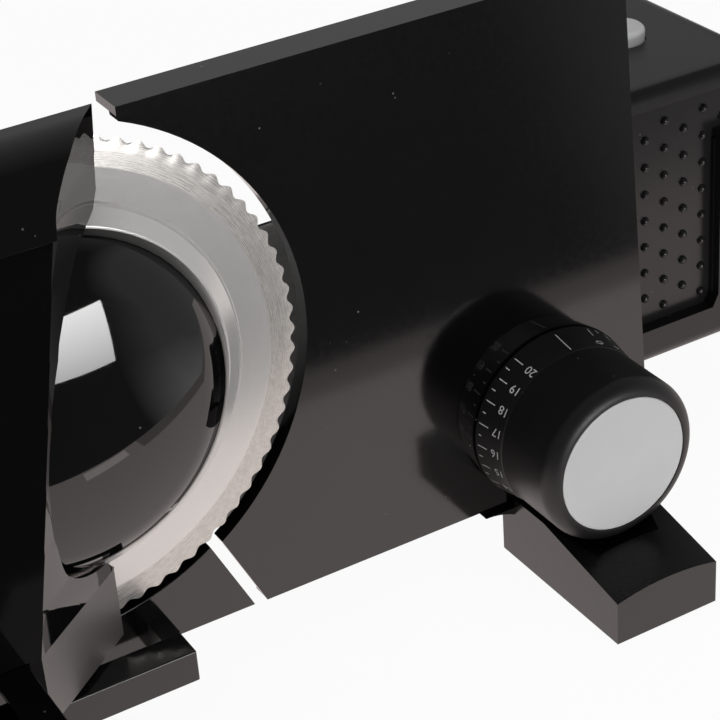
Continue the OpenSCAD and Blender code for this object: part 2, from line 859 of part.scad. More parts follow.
// Bearings and drive supports
module shaft_bushes() {
  color("darkgoldenrod") place() difference() {
    union() {
      rod_y(bush_r, boss_front, inner_front);
      rod_y(bush_r, rear_bush_front, rear_bush_front + rear_bush_len);
    }
    rod_y(shaft_r + run_gap, 0, house_back);
  }
}

module guide_bushes() {
  color("darkgoldenrod") place() for (p = rod_places) translate([p[0], 0, p[1]]) difference() {
    union() {
      rod_y(guide_r + bush_wall, house_front, inner_front + bush_len);
      rod_y(guide_r + bush_wall + 2, inner_front, inner_front + 3);
    }
    rod_y(guide_r + run_gap, house_front - 1, inner_front + bush_len + 1);
  }
}

module spindle_nut() {
  color("darkgoldenrod") place() knob_line() difference() {
    rod_y(nut_r, inner_front, inner_front + nut_len);
    rod_y(spindle_r + run_gap, inner_front - 1, inner_front + nut_len + 1);
  }
}

module motor_can() {
  color("slategray") place() motor_line() difference() {
    rod_x(motor_r, motor_left, motor_right);
    rod_x(motor_r - motor_wall, motor_left + motor_wall, motor_right - motor_wall);
    rod_x(motor_shaft_r + run_gap, motor_left - 1, motor_right + 1);
  }
}

module motor_cradle() {
  color("dimgray") place() difference() {
    for (x = [motor_left + cradle_w, motor_right - 2 * cradle_w])
      block([x, motor_y - cradle_half, inner_floor],
            [x + cradle_w, motor_y + cradle_half, motor_z - motor_r / 3]);
    motor_line() rod_x(motor_r + seat_gap, motor_left - 1, motor_right + 1);
  }
}

module worm_bearing() {
  color("dimgray") place() difference() {
    block([bearing_left, motor_y - bearing_half, inner_floor],
          [bearing_left + bearing_w, motor_y + bearing_half, motor_z + bearing_half]);
    motor_line() rod_x(motor_shaft_r + run_gap, bearing_left - 1, bearing_left + bearing_w + 1);
  }
}

// Switch group
module switch_bracket() {
  color("dimgray") place() difference() {
    block([lock_x - shelf_half, pad_back, shelf_top - shelf_t],
          [start_x + shelf_half, button_y + shelf_half, shelf_top]);
    for (x = [start_x, lock_x]) translate([x, button_y, 0])
      rod_z(plunger_r + seat_gap, shelf_top - shelf_t - 1, shelf_top + 1);
  }
}

module microswitches() {
  color([0.15, 0.15, 0.15]) place() for (x = [start_x, lock_x]) translate([x, button_y, 0]) {
    block([-switch_half_x, -switch_half_y, shelf_top - shelf_t - switch_h],
          [switch_half_x, switch_half_y, shelf_top - shelf_t]);
    rod_z(plunger_r, shelf_top - shelf_t, shelf_top);
  }
}

module button(x) {
  place() translate([x, button_y, 0]) rotate_extrude() polygon(concat(
    [[0, stem_end], [stem_r, stem_end], [stem_r, spring_top], [button_flange_r, spring_top],
     [button_flange_r, button_flange_top], [button_r, button_flange_top]],
    arc_points([button_r - 2, house_top + button_h - 2], 2, 0, 90, 6),
    [[0, house_top + button_h - 1]]));
}

module start_button() color("silver") button(start_x);

module lock_button() color([0.12, 0.12, 0.12]) button(lock_x);

module button_spring(x) {
  place() translate([x, button_y, shelf_top])
    linear_extrude(spring_len, twist = 360 * spring_coils, slices = 12 * spring_coils, $fn = 6)
      translate([spring_r, 0]) circle(spring_wire_r);
}

module start_spring() color("lightgray") button_spring(start_x);

module lock_spring() color("lightgray") button_spring(lock_x);

// Carriage group
// Place of the tray's slanted right end at a depth y, inside the hand guard's skirt
function tray_end_x(y) = waist_x + (y - hood_front) * end_lean;

// The tray seen from above, round at its front corners
module tray_plan(inset) {
  x0 = tray_left + inset;
  x1 = waist_x - inset;
  y0 = inset - tray_reach;
  y1 = -tray_room - inset;
  r = tray_round - inset;
  shift = inset * sqrt(1 + end_lean * end_lean);
  polygon([[x1 - 1, hood_front], [x1, hood_front + (shift - inset) / end_lean],
           [tray_end_x(y1) - shift, y1], [x1 - 1, y1]]);
  translate([x0, y0 + r]) square([x1 - x0, y1 - y0 - r]);
  translate([x0 + r, y0]) square([x1 - x0 - 2 * r, y1 - y0]);
  for (x = [x0 + r, x1 - r]) translate([x, y0 + r]) circle(r);
}

module carriage_tray() {
  color([0.08, 0.08, 0.08]) place() {
    difference() {
      translate([0, 0, tray_bottom]) linear_extrude(tray_skirt) tray_plan(0);
      translate([0, 0, tray_bottom - 1]) linear_extrude(tray_skirt - tray_wall + 1) tray_plan(tray_wall);
      for (x = slot_xs) block([x - slot_w / 2, slot_front, tray_top - tray_wall - 1],
                              [x + slot_w / 2, slot_back, tray_top + 1]);
    }
    difference() {
      block([runner_left, rail_front - runner_wall, rail_bottom - runner_wall + 1],
            [runner_left + runner_len, rail_back + runner_wall, tray_top - tray_wall]);
      block([runner_left - 1, rail_front - bush_skin, rail_bottom - bush_skin],
            [runner_left + runner_len + 1, rail_back + bush_skin, rail_top + bush_skin]);
    }
  }
}

module runner_bushes() {
  color("ivory") place() difference() {
    block([runner_left, rail_front - bush_skin, rail_bottom - bush_skin],
          [runner_left + runner_len, rail_back + bush_skin, rail_top + bush_skin]);
    block([runner_left - 1, rail_front - rail_gap, rail_bottom - rail_gap],
          [runner_left + runner_len + 1, rail_back + rail_gap, rail_top + rail_gap]);
  }
}

// Hand guard: a hood with a rounded top, closed at the right by a slanted wall; both ends clear the dome
function guard_x(y, z) =
  let (v = (z - hood_foot) / (hood_top - hood_foot), u = (y - hood_front) / (hood_back - hood_front),
       front = guard_foot_front + (guard_top_front - guard_foot_front) * v,
       back = guard_foot_back + (guard_top_back - guard_foot_back) * v)
  front + (back - front) * u;

// Solid between the side wall's twisted face shifted left by near and right by far
module beside_guard(near, far) {
  y0 = hood_front - guard_over;
  y1 = hood_back + guard_over;
  n = guard_levels;
  low = hood_foot - guard_over;
  high = hood_top + guard_over;
  points = [for (i = [0 : n]) let (z = low + (high - low) * i / n)
    each [[guard_x(y0, z) + near, y0, z], [guard_x(y0, z) + far, y0, z],
          [guard_x(y1, z) + far, y1, z], [guard_x(y1, z) + near, y1, z]]];
  sides = [for (i = [0 : n - 1], k = [0 : 3]) let (a = 4 * i + k, b = 4 * i + (k + 1) % 4)
    each [[a, a + 4, b], [b, a + 4, b + 4]]];
  polyhedron(points, concat([[0, 1, 2], [0, 2, 3]], sides,
    [[4 * n, 4 * n + 2, 4 * n + 1], [4 * n, 4 * n + 3, 4 * n + 2]]));
}

// Side view of the hood, filled; inset gives its inner face
module hood_view(inset) {
  centre = [hood_front + hood_step + hood_round, hood_ledge];
  over = inset > 0 ? 1 : 0;
  panel_h = hood_ledge - hood_foot - over * (hood_step - 1);
  translate([hood_front + inset, hood_foot - over]) square([hood_back - hood_front - inset + over, panel_h]);
  translate([centre[0], hood_ledge - 1]) square([hood_back - centre[0] + over, hood_round - inset + 1]);
  intersection() {
    translate(centre) circle(hood_round - inset);
    translate([hood_front, hood_ledge - hood_step])
      square([centre[0] - hood_front + 1, hood_round + hood_step]);
  }
}

// Side view of the dome with room round it, which the side wall leaves free
module dome_view() {
  behind = -ring_top - 1;
  half = concat([[ring_r + ring_room, behind], [ring_r + ring_room, -ring_h + ring_room]],
                dome_outline(dome_foot_r + cut_room, dome_h + cut_room, dome_shoulder_r + cut_room),
                [[0, behind]]);
  for (side = [1, -1]) polygon([for (p = half) [-(p[1] + ring_top), side * p[0]]]);
}

module keels() {
  for (x = slot_xs) {
    block([x - slot_w / 2 + free_gap, hood_front, tray_top - tray_wall - free_gap],
          [x + slot_w / 2 - free_gap, hood_front + keel_len, hood_foot + keel_t]);
    block([x - slot_w, hood_front, tray_top - tray_wall - free_gap - keel_t],
          [x + slot_w, hood_front + keel_len, tray_top - tray_wall - free_gap]);
    block([x - slot_w, hood_front + 1, hood_foot], [x + slot_w, hood_front + keel_len, hood_foot + keel_t]);
  }
}

module hand_guard() {
  reach = guard_top_back + guard_over;
  color([0.04, 0.04, 0.04]) place() {
    difference() {
      along_x(hood_left, reach) hood_view(0);
      along_x(hood_left + hood_wall, reach + 1) hood_view(hood_wall);
      along_x(hood_left - 1, hood_left + hood_wall + 1) intersection() {
        dome_view();
        hood_view(hood_wall);
      }
      beside_guard(-side_wall / 2, 2 * reach);
    }
    difference() {
      intersection() {
        along_x(guard_foot_front - guard_over - side_wall, reach) hood_view(0);
        beside_guard(-side_wall, 0);
      }
      along_x(guard_foot_front - 2 * guard_over - side_wall, reach + 1) dome_view();
    }
    translate([0, 0, tray_bottom]) linear_extrude(hood_foot + 1 - tray_bottom) polygon([
      [guard_foot_front - side_wall, hood_front], [guard_foot_front, hood_front],
      [guard_foot_back, hood_back], [guard_foot_back - side_wall, hood_back]]);
    keels();
  }
}

blade_disc();
hub_ring();
dome_cover();
blade_shaft();
blade_screws();
worm_wheel();
motor_shaft();
worm();
armature();
cooling_fan();
gauge_plate();
guide_rods();
scale_ring();
knob_grip();
knob_cap();
spindle();
housing();
rear_cover();
cover_screws();
cable_inlet();
front_plate();
right_foot();
left_foot();
rear_feet();
foot_pads();
rail();
rail_brackets();
shaft_bushes();
guide_bushes();
spindle_nut();
motor_can();
motor_cradle();
worm_bearing();
switch_bracket();
microswitches();
start_button();
lock_button();
start_spring();
lock_spring();
carriage_tray();
runner_bushes();
hand_guard();
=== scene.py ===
"""Looks of an electric food slicer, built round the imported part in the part's own frame, in metres.

Sizes in this file are in millimetres in the maker's working frame: the blade's axis runs along Y through
the origin, the cutting edge lies in the plane y = 0, the operator stands at -Y and the gauge plate is at +X.
at() turns such a point into the part's frame.
"""

from __future__ import annotations

import json
import logging
import math
from dataclasses import dataclass, field
from enum import Enum
from functools import cache
from typing import Any, Callable, Iterable, Sequence

import bmesh
import bpy
from mathutils import Matrix, Vector

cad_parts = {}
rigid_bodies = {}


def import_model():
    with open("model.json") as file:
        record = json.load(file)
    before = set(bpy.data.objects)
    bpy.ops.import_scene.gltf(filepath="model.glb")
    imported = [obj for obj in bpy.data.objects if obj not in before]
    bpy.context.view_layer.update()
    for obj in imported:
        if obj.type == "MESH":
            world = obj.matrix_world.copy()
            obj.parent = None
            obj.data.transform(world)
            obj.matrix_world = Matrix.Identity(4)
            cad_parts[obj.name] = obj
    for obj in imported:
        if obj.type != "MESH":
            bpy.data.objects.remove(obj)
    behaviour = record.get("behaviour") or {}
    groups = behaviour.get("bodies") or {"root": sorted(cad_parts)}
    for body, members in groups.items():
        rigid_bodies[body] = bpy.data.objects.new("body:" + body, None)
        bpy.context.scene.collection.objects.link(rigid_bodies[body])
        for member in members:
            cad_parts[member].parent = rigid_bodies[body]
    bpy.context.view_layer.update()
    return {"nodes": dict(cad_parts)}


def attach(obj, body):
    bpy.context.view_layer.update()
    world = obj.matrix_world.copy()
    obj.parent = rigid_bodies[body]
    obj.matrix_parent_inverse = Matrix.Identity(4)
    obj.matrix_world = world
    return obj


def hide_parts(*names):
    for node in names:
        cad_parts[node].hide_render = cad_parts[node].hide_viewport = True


LOG = logging.getLogger("slicer")
MIDDLE = Vector((79.0, 10.0, -128.0))
MM = 0.001
TABLE_LEVEL = -128.3
FORWARD = Vector((0.0, -1.0, 0.0))
UPRIGHT = (math.pi / 2, 0.0, 0.0)
SHARP_TURN = 32.0
Colour = tuple[float, float, float]
Point = tuple[float, float, float]
Corner = tuple[float, float]
Profile = Sequence[Corner]
Solids = dict[str, bpy.types.Object]
Socket = bpy.types.NodeSocket


def at(x: float, y: float, z: float) -> Vector:
    """Returns a working-frame point, in millimetres, as a point of the part's frame, in metres."""
    return (Vector((x, y, z)) - MIDDLE) * MM


def off_axis(place: Vector, centre: Vector) -> float:
    """Returns a point's distance from the axis along Y through a centre, in millimetres."""
    away = (place - centre) / MM
    return math.hypot(away.x, away.z)


def arc(centre: Corner, radius: float, start: float, stop: float, steps: int) -> list[Corner]:
    """Returns the points of an arc in a profile, both ends included, with the angles in degrees."""
    angles = [math.radians(start + (stop - start) * i / steps) for i in range(steps + 1)]
    return [(centre[0] + radius * math.cos(a), centre[1] + radius * math.sin(a)) for a in angles]


class Workpiece:
    """One mesh object under the modelling operators."""

    def __init__(self, obj: bpy.types.Object) -> None:
        """Takes over an object that is already in the scene."""
        self.obj = obj

    @staticmethod
    def clear_selection() -> None:
        """Leaves edit mode and deselects every object."""
        if bpy.context.mode != "OBJECT":
            bpy.ops.object.mode_set(mode="OBJECT")
        for other in bpy.context.view_layer.objects:
            other.select_set(False)

    @classmethod
    def fresh(cls, name: str) -> Workpiece:
        """Takes over the primitive just added, with its place in its mesh.

        Args:
            name: name of the piece.

        Returns:
            The piece, in edit mode, with everything selected.
        """
        piece = cls(bpy.context.object)
        piece.obj.name = name
        piece.obj.data.name = name
        bpy.ops.object.transform_apply(location=True, rotation=True, scale=True)
        piece.edit()
        bpy.ops.mesh.select_all(action="SELECT")
        return piece

    @classmethod
    def turned(cls, name: str, profile: Profile, sides: int, centre: Vector) -> Workpiece:
        """Turns a profile about an axis that points forward, ring by ring.

        Args:
            name: name of the piece.
            profile: radius and height along the axis of each ring; a last radius of 0 ends in a point.
            sides: vertices in one ring.
            centre: point on the axis that heights are measured from, in the part's frame.

        Returns:
            The closed piece, in object mode.
        """
        cls.clear_selection()
        radius, along = profile[0]
        foot = centre + FORWARD * along * MM
        bpy.ops.mesh.primitive_circle_add(vertices=sides, radius=radius * MM, location=foot, rotation=UPRIGHT)
        piece = cls.fresh(name)
        for next_radius, next_along in profile[1:]:
            step = FORWARD * (next_along - along) * MM
            bpy.ops.mesh.extrude_edges_move(TRANSFORM_OT_translate={"value": step})
            if next_radius > 0:
                middle = centre + FORWARD * next_along * MM
                growth = next_radius / radius
                bpy.ops.transform.resize(value=(growth, 1.0, growth), center_override=middle)
                radius = next_radius
            else:
                bpy.ops.mesh.merge(type="CENTER")
            along = next_along
        return piece.close()

    @classmethod
    def traced(cls, name: str, outline: Sequence[Vector], depth: Vector) -> Workpiece:
        """Draws an outline point by point, fills it and extrudes it.

        Args:
            name: name of the piece.
            outline: corners in the part's frame.
            depth: how far the outline is drawn out.

        Returns:
            The closed piece, in object mode.
        """
        cls.clear_selection()
        bpy.ops.mesh.primitive_plane_add(size=MM, location=outline[0])
        piece = cls.fresh(name)
        bpy.ops.mesh.merge(type="CENTER")
        for here, there in zip(outline, outline[1:]):
            bpy.ops.mesh.extrude_vertices_move(TRANSFORM_OT_translate={"value": there - here})
        bpy.ops.mesh.select_all(action="SELECT")
        bpy.ops.mesh.edge_face_add()
        bpy.ops.mesh.extrude_region_move(TRANSFORM_OT_translate={"value": depth})
        return piece.close()

    @classmethod
    def from_solid(cls, name: str, solid: bpy.types.Object) -> Workpiece:
        """Starts from a merged copy of a CAD solid's mesh.

        Args:
            name: name of the piece.
            solid: the CAD node, which stays as it is.

        Returns:
            The piece with flat faces joined, in object mode.
        """
        cls.clear_selection()
        mesh = solid.data.copy()
        mesh.materials.clear()
        obj = bpy.data.objects.new(name, mesh)
        bpy.context.scene.collection.objects.link(obj)
        piece = cls(obj)
        piece.activate()
        bpy.ops.mesh.customdata_custom_splitnormals_clear()
        piece.edit()
        bpy.ops.mesh.select_all(action="SELECT")
        bpy.ops.mesh.remove_doubles(threshold=2e-6)
        bpy.ops.mesh.dissolve_limited(angle_limit=math.radians(0.3))
        bpy.ops.object.mode_set(mode="OBJECT")
        return piece

    def activate(self) -> None:
        """Makes this the only selected object, in object mode."""
        self.clear_selection()
        self.obj.select_set(True)
        bpy.context.view_layer.objects.active = self.obj

    def edit(self) -> None:
        """Enters edit mode on this object alone."""
        self.activate()
        bpy.ops.object.mode_set(mode="EDIT")
        bpy.ops.mesh.select_mode(type="VERT")

    def close(self) -> Workpiece:
        """Merges doubles, turns the faces outwards and leaves edit mode.

        Returns:
            This piece.
        """
        bpy.ops.mesh.select_all(action="SELECT")
        bpy.ops.mesh.remove_doubles(threshold=1e-7)
        bpy.ops.mesh.normals_make_consistent(inside=False)
        bpy.ops.object.mode_set(mode="OBJECT")
        return self

    def pick(self, wanted: Callable[[Vector], bool]) -> int:
        """Selects the vertices that a test on their place wants, in edit mode.

        Args:
            wanted: test on a vertex's place in the part's frame.

        Returns:
            How many were selected.
        """
        bpy.ops.mesh.select_all(action="DESELECT")
        mesh = bmesh.from_edit_mesh(self.obj.data)
        chosen = [v for v in mesh.verts if wanted(v.co)]
        for vertex in chosen:
            vertex.select = True
        mesh.select_flush(True)
        bmesh.update_edit_mesh(self.obj.data)
        return len(chosen)

    def pick_box(self, low: Vector, high: Vector) -> int:
        """Selects the vertices inside a box of the part's frame, in edit mode, and returns how many."""
        return self.pick(lambda place: all(a < b < c for a, b, c in zip(low, place, high)))

    def fill(self, rim: Callable[[Vector], bool]) -> Workpiece:
        """Closes an open ring with a face.

        Args:
            rim: test that wants the ring's vertices.

        Returns:
            This piece, in object mode.
        """
        self.edit()
        self.pick(rim)
        bpy.ops.mesh.edge_face_add()
        return self.close()

    def apply(self, modifier: bpy.types.Modifier) -> None:
        """Applies one modifier."""
        self.activate()
        bpy.ops.object.modifier_apply(modifier=modifier.name)

    def soften(self, width: float, segments: int) -> Workpiece:
        """Rounds the edges with a sharp turn, then smooths the shading.

        Args:
            width: width of the rounding, in millimetres.
            segments: steps across the rounding.

        Returns:
            This piece.
        """
        bevel = self.obj.modifiers.new("soft_edges", "BEVEL")
        bevel.width = width * MM
        bevel.segments = segments
        bevel.limit_method = "ANGLE"
        bevel.angle_limit = math.radians(SHARP_TURN)
        bevel.use_clamp_overlap = True
        self.apply(bevel)
        return self.smooth(SHARP_TURN)

    def smooth(self, angle: float) -> Workpiece:
        """Smooths the shading up to an angle and lets large faces keep their own direction.

        Args:
            angle: least turn that stays sharp, in degrees.

        Returns:
            This piece.
        """
        self.activate()
        bpy.ops.object.shade_smooth_by_angle(angle=math.radians(angle))
        weighted = self.obj.modifiers.new("flat_faces", "WEIGHTED_NORMAL")
        weighted.keep_sharp = True
        weighted.weight = 100
        self.apply(weighted)
        return self

    def finish(
        self, body: str, slot: str, finishes: Iterable[Finish], nodes: Iterable[str] = ()
    ) -> Workpiece:
        """Dresses the piece and hangs it on its body.

        Args:
            body: CAD body that it rides on.
            slot: material slot of the record; not used.
            finishes: one finish for each material index.
            nodes: CAD nodes that it stands for.

        Returns:
            This piece.
        """
        for look in finishes:
            self.obj.data.materials.append(look.material())
        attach(self.obj, body)
        if nodes:
            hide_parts(*nodes)
        LOG.info("piece %s: %d faces on %s", self.obj.name, len(self.obj.data.polygons), body)
        return self


class Board:
    """A node tree with short calls to add and join nodes."""

    def __init__(self, tree: bpy.types.NodeTree) -> None:
        """Takes over a node tree."""
        self.tree = tree

    def add(self, kind: str, **values: Any) -> bpy.types.Node:
        """Adds a node and sets its properties.

        Args:
            kind: node type, without the leading ShaderNode.
            values: properties of the node.

        Returns:
            The node.
        """
        node = self.tree.nodes.new(kind if kind.startswith("NodeGroup") else "ShaderNode" + kind)
        for key, value in values.items():
            setattr(node, key, value)
        return node

    def join(self, given: Any, target: Socket) -> None:
        """Gives an input its value.

        Args:
            given: output to link, number or colour.
            target: the input.
        """
        if isinstance(given, Socket):
            self.tree.links.new(given, target)
        else:
            target.default_value = (*given, 1.0) if isinstance(given, tuple) else given

    def maths(self, operation: str, first: Any, second: Any = 0.0, clamp: bool = False) -> Socket:
        """Adds a Math node.

        Args:
            operation: what it does.
            first: socket or number.
            second: socket or number.
            clamp: whether the result stays between 0 and 1.

        Returns:
            The node's output.
        """
        node = self.add("Math", operation=operation, use_clamp=clamp)
        self.join(first, node.inputs[0])
        self.join(second, node.inputs[1])
        return node.outputs[0]

    def span(self, value: Socket, low: float, high: float, to_low: Any, to_high: Any) -> Socket:
        """Adds a Map Range node.

        Args:
            value: what is mapped.
            low: least value of the range that is read.
            high: greatest value of that range.
            to_low: socket or number for the least result.
            to_high: socket or number for the greatest result.

        Returns:
            The node's output.
        """
        node = self.add("MapRange")
        values = {"Value": value, "From Min": low, "From Max": high, "To Min": to_low, "To Max": to_high}
        for name, given in values.items():
            self.join(given, node.inputs[name])
        return node.outputs["Result"]

    def mix(self, factor: Socket, first: Any, second: Any) -> Socket:
        """Adds a colour Mix node.

        Args:
            factor: share of the second colour.
            first: socket or colour.
            second: socket or colour.

        Returns:
            The mixed colour.
        """
        node = self.add("Mix", data_type="RGBA")
        for index, given in ((0, factor), (6, first), (7, second)):
            self.join(given, node.inputs[index])
        return node.outputs[2]

    def noise(self, place: Socket, scale: Any, detail: float = 2.0) -> Socket:
        """Adds a Noise Texture node.

        Args:
            place: coordinates.
            scale: socket or number.
            detail: number of finer layers.

        Returns:
            The noise's value.
        """
        node = self.add("TexNoise")
        for name, given in (("Vector", place), ("Scale", scale), ("Detail", detail)):
            self.join(given, node.inputs[name])
        return node.outputs[0]

    def layer(self, share: Socket, under: bpy.types.Node, over: bpy.types.Node, target: Socket) -> None:
        """Mixes two shaders.

        Args:
            share: share of the upper shader.
            under: the lower shader.
            over: the upper shader.
            target: the input that takes the mixture.
        """
        mixed = self.add("MixShader")
        for index, given in enumerate((share, under.outputs[0], over.outputs[0])):
            self.join(given, mixed.inputs[index])
        self.join(mixed.outputs[0], target)


class SurfaceGroups:
    """Shader node groups that several finishes share, each built once."""

    @staticmethod
    def start(name: str, inputs: Sequence[str], outputs: Sequence[str]) -> tuple[Board, Any, Any]:
        """Opens a new group with its sockets.

        Args:
            name: name of the group.
            inputs: names of the value inputs that follow the coordinates.
            outputs: names of the value outputs.

        Returns:
            The board, the group's input node and its output node.
        """
        tree = bpy.data.node_groups.new(name, "ShaderNodeTree")
        tree.interface.new_socket(name="Place", in_out="INPUT", socket_type="NodeSocketVector")
        for way, labels in (("INPUT", inputs), ("OUTPUT", outputs)):
            for label in labels:
                tree.interface.new_socket(name=label, in_out=way, socket_type="NodeSocketFloat")
        board = Board(tree)
        return board, board.add("NodeGroupInput"), board.add("NodeGroupOutput")

    @staticmethod
    @cache
    def grain() -> bpy.types.NodeTree:
        """Moulded grain: a fine grain over slow patches, as Grain and Patch.

        Returns:
            The group.
        """
        board, source, sink = SurfaceGroups.start(
            "moulded_grain", ("Scale", "Patch Scale"), ("Grain", "Patch")
        )
        for scale, detail, output in (("Scale", 3.0, "Grain"), ("Patch Scale", 2.0, "Patch")):
            noise = board.noise(source.outputs["Place"], source.outputs[scale], detail)
            board.join(noise, sink.inputs[output])
        return board.tree

    @staticmethod
    @cache
    def dust() -> bpy.types.NodeTree:
        """Settled dust: sparse specks a few tenths of a millimetre wide, as Mask.

        Returns:
            The group.
        """
        board, source, sink = SurfaceGroups.start("settled_dust", ("Scale", "Amount"), ("Mask",))
        place = source.outputs["Place"]
        cells = board.add("TexVoronoi")
        board.join(place, cells.inputs["Vector"])
        board.join(source.outputs["Scale"], cells.inputs["Scale"])
        speck = board.span(cells.outputs["Distance"], 0.03, 0.07, 1.0, 0.0)
        where = board.span(board.noise(place, 90.0), 0.52, 0.6, 0.0, 1.0)
        both = board.maths("MULTIPLY", speck, where)
        mask = board.maths("MULTIPLY", both, source.outputs["Amount"], clamp=True)
        board.join(mask, sink.inputs["Mask"])
        return board.tree

    @staticmethod
    @cache
    def turned_lines() -> bpy.types.NodeTree:
        """Fine rings left by turning and grinding round an axis along Y, as Lines and Blotch.

        Returns:
            The group.
        """
        board, source, sink = SurfaceGroups.start("turned_lines", ("Rings",), ("Lines", "Blotch"))
        place = source.outputs["Place"]
        parts = board.add("SeparateXYZ")
        board.join(place, parts.inputs[0])
        across, _, upward = parts.outputs
        squares = [board.maths("MULTIPLY", each, each) for each in (across, upward)]
        radius = board.maths("SQRT", board.maths("ADD", *squares))
        angle = board.maths("ARCTAN2", upward, across)
        stretched = board.add("CombineXYZ")
        board.join(board.maths("MULTIPLY", radius, source.outputs["Rings"]), stretched.inputs[0])
        board.join(board.maths("MULTIPLY", angle, 9.0), stretched.inputs[1])
        board.join(board.noise(stretched.outputs[0], 1.0, 4.0), sink.inputs["Lines"])
        board.join(board.noise(place, 900.0, 6.0), sink.inputs["Blotch"])
        return board.tree


WHITE: Colour = (1.0, 1.0, 1.0)
DUST_GREY: Colour = (0.42, 0.41, 0.4)
DUST_CELLS = 140.0
PATCHES = 35.0


class Pattern(Enum):
    """How the fine detail of a finish runs."""

    MOULDED = "moulded"
    TURNED = "turned"
    DRAWN = "drawn"


@dataclass(frozen=True)
class Finish:
    """A surface finish and the material that shows it.

    Attributes:
        name: name of the material.
        colour: main colour.
        shade: colour that the pattern brings in.
        metallic: 1 for bare metal.
        rough: least and greatest roughness.
        grain: grains in a metre, or rings in a metre for a turned finish.
        relief: depth of the grain, in millimetres.
        dust: strength of the settled dust.
        pattern: how the fine detail runs.
        anisotropy: stretch of the highlight on brushed metal.
        specular: specular level.
    """

    name: str
    colour: Colour
    shade: Colour
    metallic: float
    rough: Corner
    grain: float
    relief: float
    dust: float = 0.0
    pattern: Pattern = Pattern.MOULDED
    anisotropy: float = 0.0
    specular: float = 0.5

    def material(self) -> bpy.types.Material:
        """Builds the finish's material on the first call.

        Returns:
            The material.
        """
        label = self.name + "_finish"
        found = bpy.data.materials.get(label)
        if found:
            return found
        made = bpy.data.materials.new(label)
        made.use_nodes = True
        made.diffuse_color = (*self.colour, 1.0)
        board = Board(made.node_tree)
        shader = made.node_tree.nodes["Principled BSDF"]
        shader.inputs["Metallic"].default_value = self.metallic
        shader.inputs["Specular IOR Level"].default_value = self.specular
        place = self.place(board)
        fine, patch = self.detail(board, place)
        blend = board.span(patch, 0.35, 0.65, 0.0, 1.0)
        colour = board.mix(blend, self.colour, self.shade)
        rough = board.span(fine, 0.3, 0.7, *self.rough)
        if self.dust > 0:
            specks = board.add("Group")
            specks.node_tree = SurfaceGroups.dust()
            specks.inputs["Scale"].default_value = DUST_CELLS
            specks.inputs["Amount"].default_value = self.dust
            board.join(place, specks.inputs["Place"])
            colour = board.mix(specks.outputs["Mask"], colour, DUST_GREY)
            dull = board.maths("MULTIPLY", specks.outputs["Mask"], 0.5)
            rough = board.maths("ADD", rough, dull, clamp=True)
        board.join(colour, shader.inputs["Base Color"])
        board.join(rough, shader.inputs["Roughness"])
        if self.relief > 0:
            bump = board.add("Bump")
            bump.inputs["Distance"].default_value = self.relief * MM
            board.join(fine, bump.inputs["Height"])
            board.join(bump.outputs["Normal"], shader.inputs["Normal"])
        if self.anisotropy > 0:
            shader.inputs["Anisotropic"].default_value = self.anisotropy
            along = board.add("VectorMath", operation="MULTIPLY")
            board.join(place, along.inputs[0])
            along.inputs[1].default_value = (1.0, 0.0, 1.0)
            board.join(along.outputs[0], shader.inputs["Tangent"])
        return made

    def place(self, board: Board) -> Socket:
        """Adds the coordinates of the pattern.

        Args:
            board: the material's nodes.

        Returns:
            Object coordinates, centred on the blade's axis.
        """
        source = board.add("TexCoord")
        mapping = board.add("Mapping")
        mapping.inputs["Location"].default_value = -at(0.0, 0.0, 0.0)
        if self.pattern is Pattern.DRAWN:
            mapping.inputs["Scale"].default_value = (0.02, 1.0, 1.0)
        board.join(source.outputs["Object"], mapping.inputs["Vector"])
        return mapping.outputs[0]

    def detail(self, board: Board, place: Socket) -> tuple[Socket, Socket]:
        """Adds the shared group that gives the fine detail.

        Args:
            board: the material's nodes.
            place: coordinates of the pattern.

        Returns:
            The fine detail and the slow patches.
        """
        group = board.add("Group")
        if self.pattern is Pattern.TURNED:
            group.node_tree = SurfaceGroups.turned_lines()
            group.inputs["Rings"].default_value = self.grain
        else:
            group.node_tree = SurfaceGroups.grain()
            group.inputs["Scale"].default_value = self.grain
            group.inputs["Patch Scale"].default_value = PATCHES
        board.join(place, group.inputs["Place"])
        return group.outputs[0], group.outputs[1]


KNOB = (183.0, 0.0, -72.5)
GLOSS_BLACK = Finish(
    "gloss_black", (0.0026, 0.0025, 0.0026), (0.0034, 0.0032, 0.0033), 0.0,
    (0.02, 0.04), 700.0, 0.0004, 0.4, specular=0.6,
)
DOME_BLACK = Finish(
    "dome_black", (0.0024, 0.0024, 0.0026), (0.003, 0.003, 0.0032), 0.0,
    (0.02, 0.04), 500.0, 0.0003, 0.4, specular=0.7,
)
# Painted reflection: the guard's skirt in a pale grey instead of the gloss black, for the light it reflects.
SKIRT_PAINTED_REFLECTION = Finish(
    "skirt_painted_reflection", (0.085, 0.0775, 0.074), (0.09, 0.082, 0.0785), 0.0,
    (0.36, 0.42), 900.0, 0.001, 0.3, specular=1.0,
)
PANEL_BLACK = Finish(
    "panel_black", (0.004, 0.004, 0.0041), (0.0048, 0.0048, 0.0049), 0.0,
    (0.06, 0.1), 500.0, 0.0004, 0.3, specular=0.06,
)
PLATE_BLACK = Finish(
    "plate_black", (0.0026, 0.0023, 0.0024), (0.0034, 0.003, 0.0031), 0.0,
    (0.08, 0.12), 420.0, 0.0012, 0.35, specular=0.85,
)
HOUSE_BLACK = Finish(
    "house_black", (0.0068, 0.0061, 0.0065), (0.0088, 0.0079, 0.0083), 0.0,
    (0.32, 0.4), 1500.0, 0.004, 0.3,
)
SATIN_BLACK = Finish(
    "satin_black", (0.0075, 0.007, 0.0072), (0.0095, 0.0088, 0.009), 0.0,
    (0.38, 0.46), 2200.0, 0.006, 0.2,
)
FOOT_BLACK = Finish(
    "foot_black", (0.0075, 0.0062, 0.0064), (0.0092, 0.0077, 0.008), 0.0,
    (0.22, 0.28), 1800.0, 0.006, 0.25, specular=0.65,
)
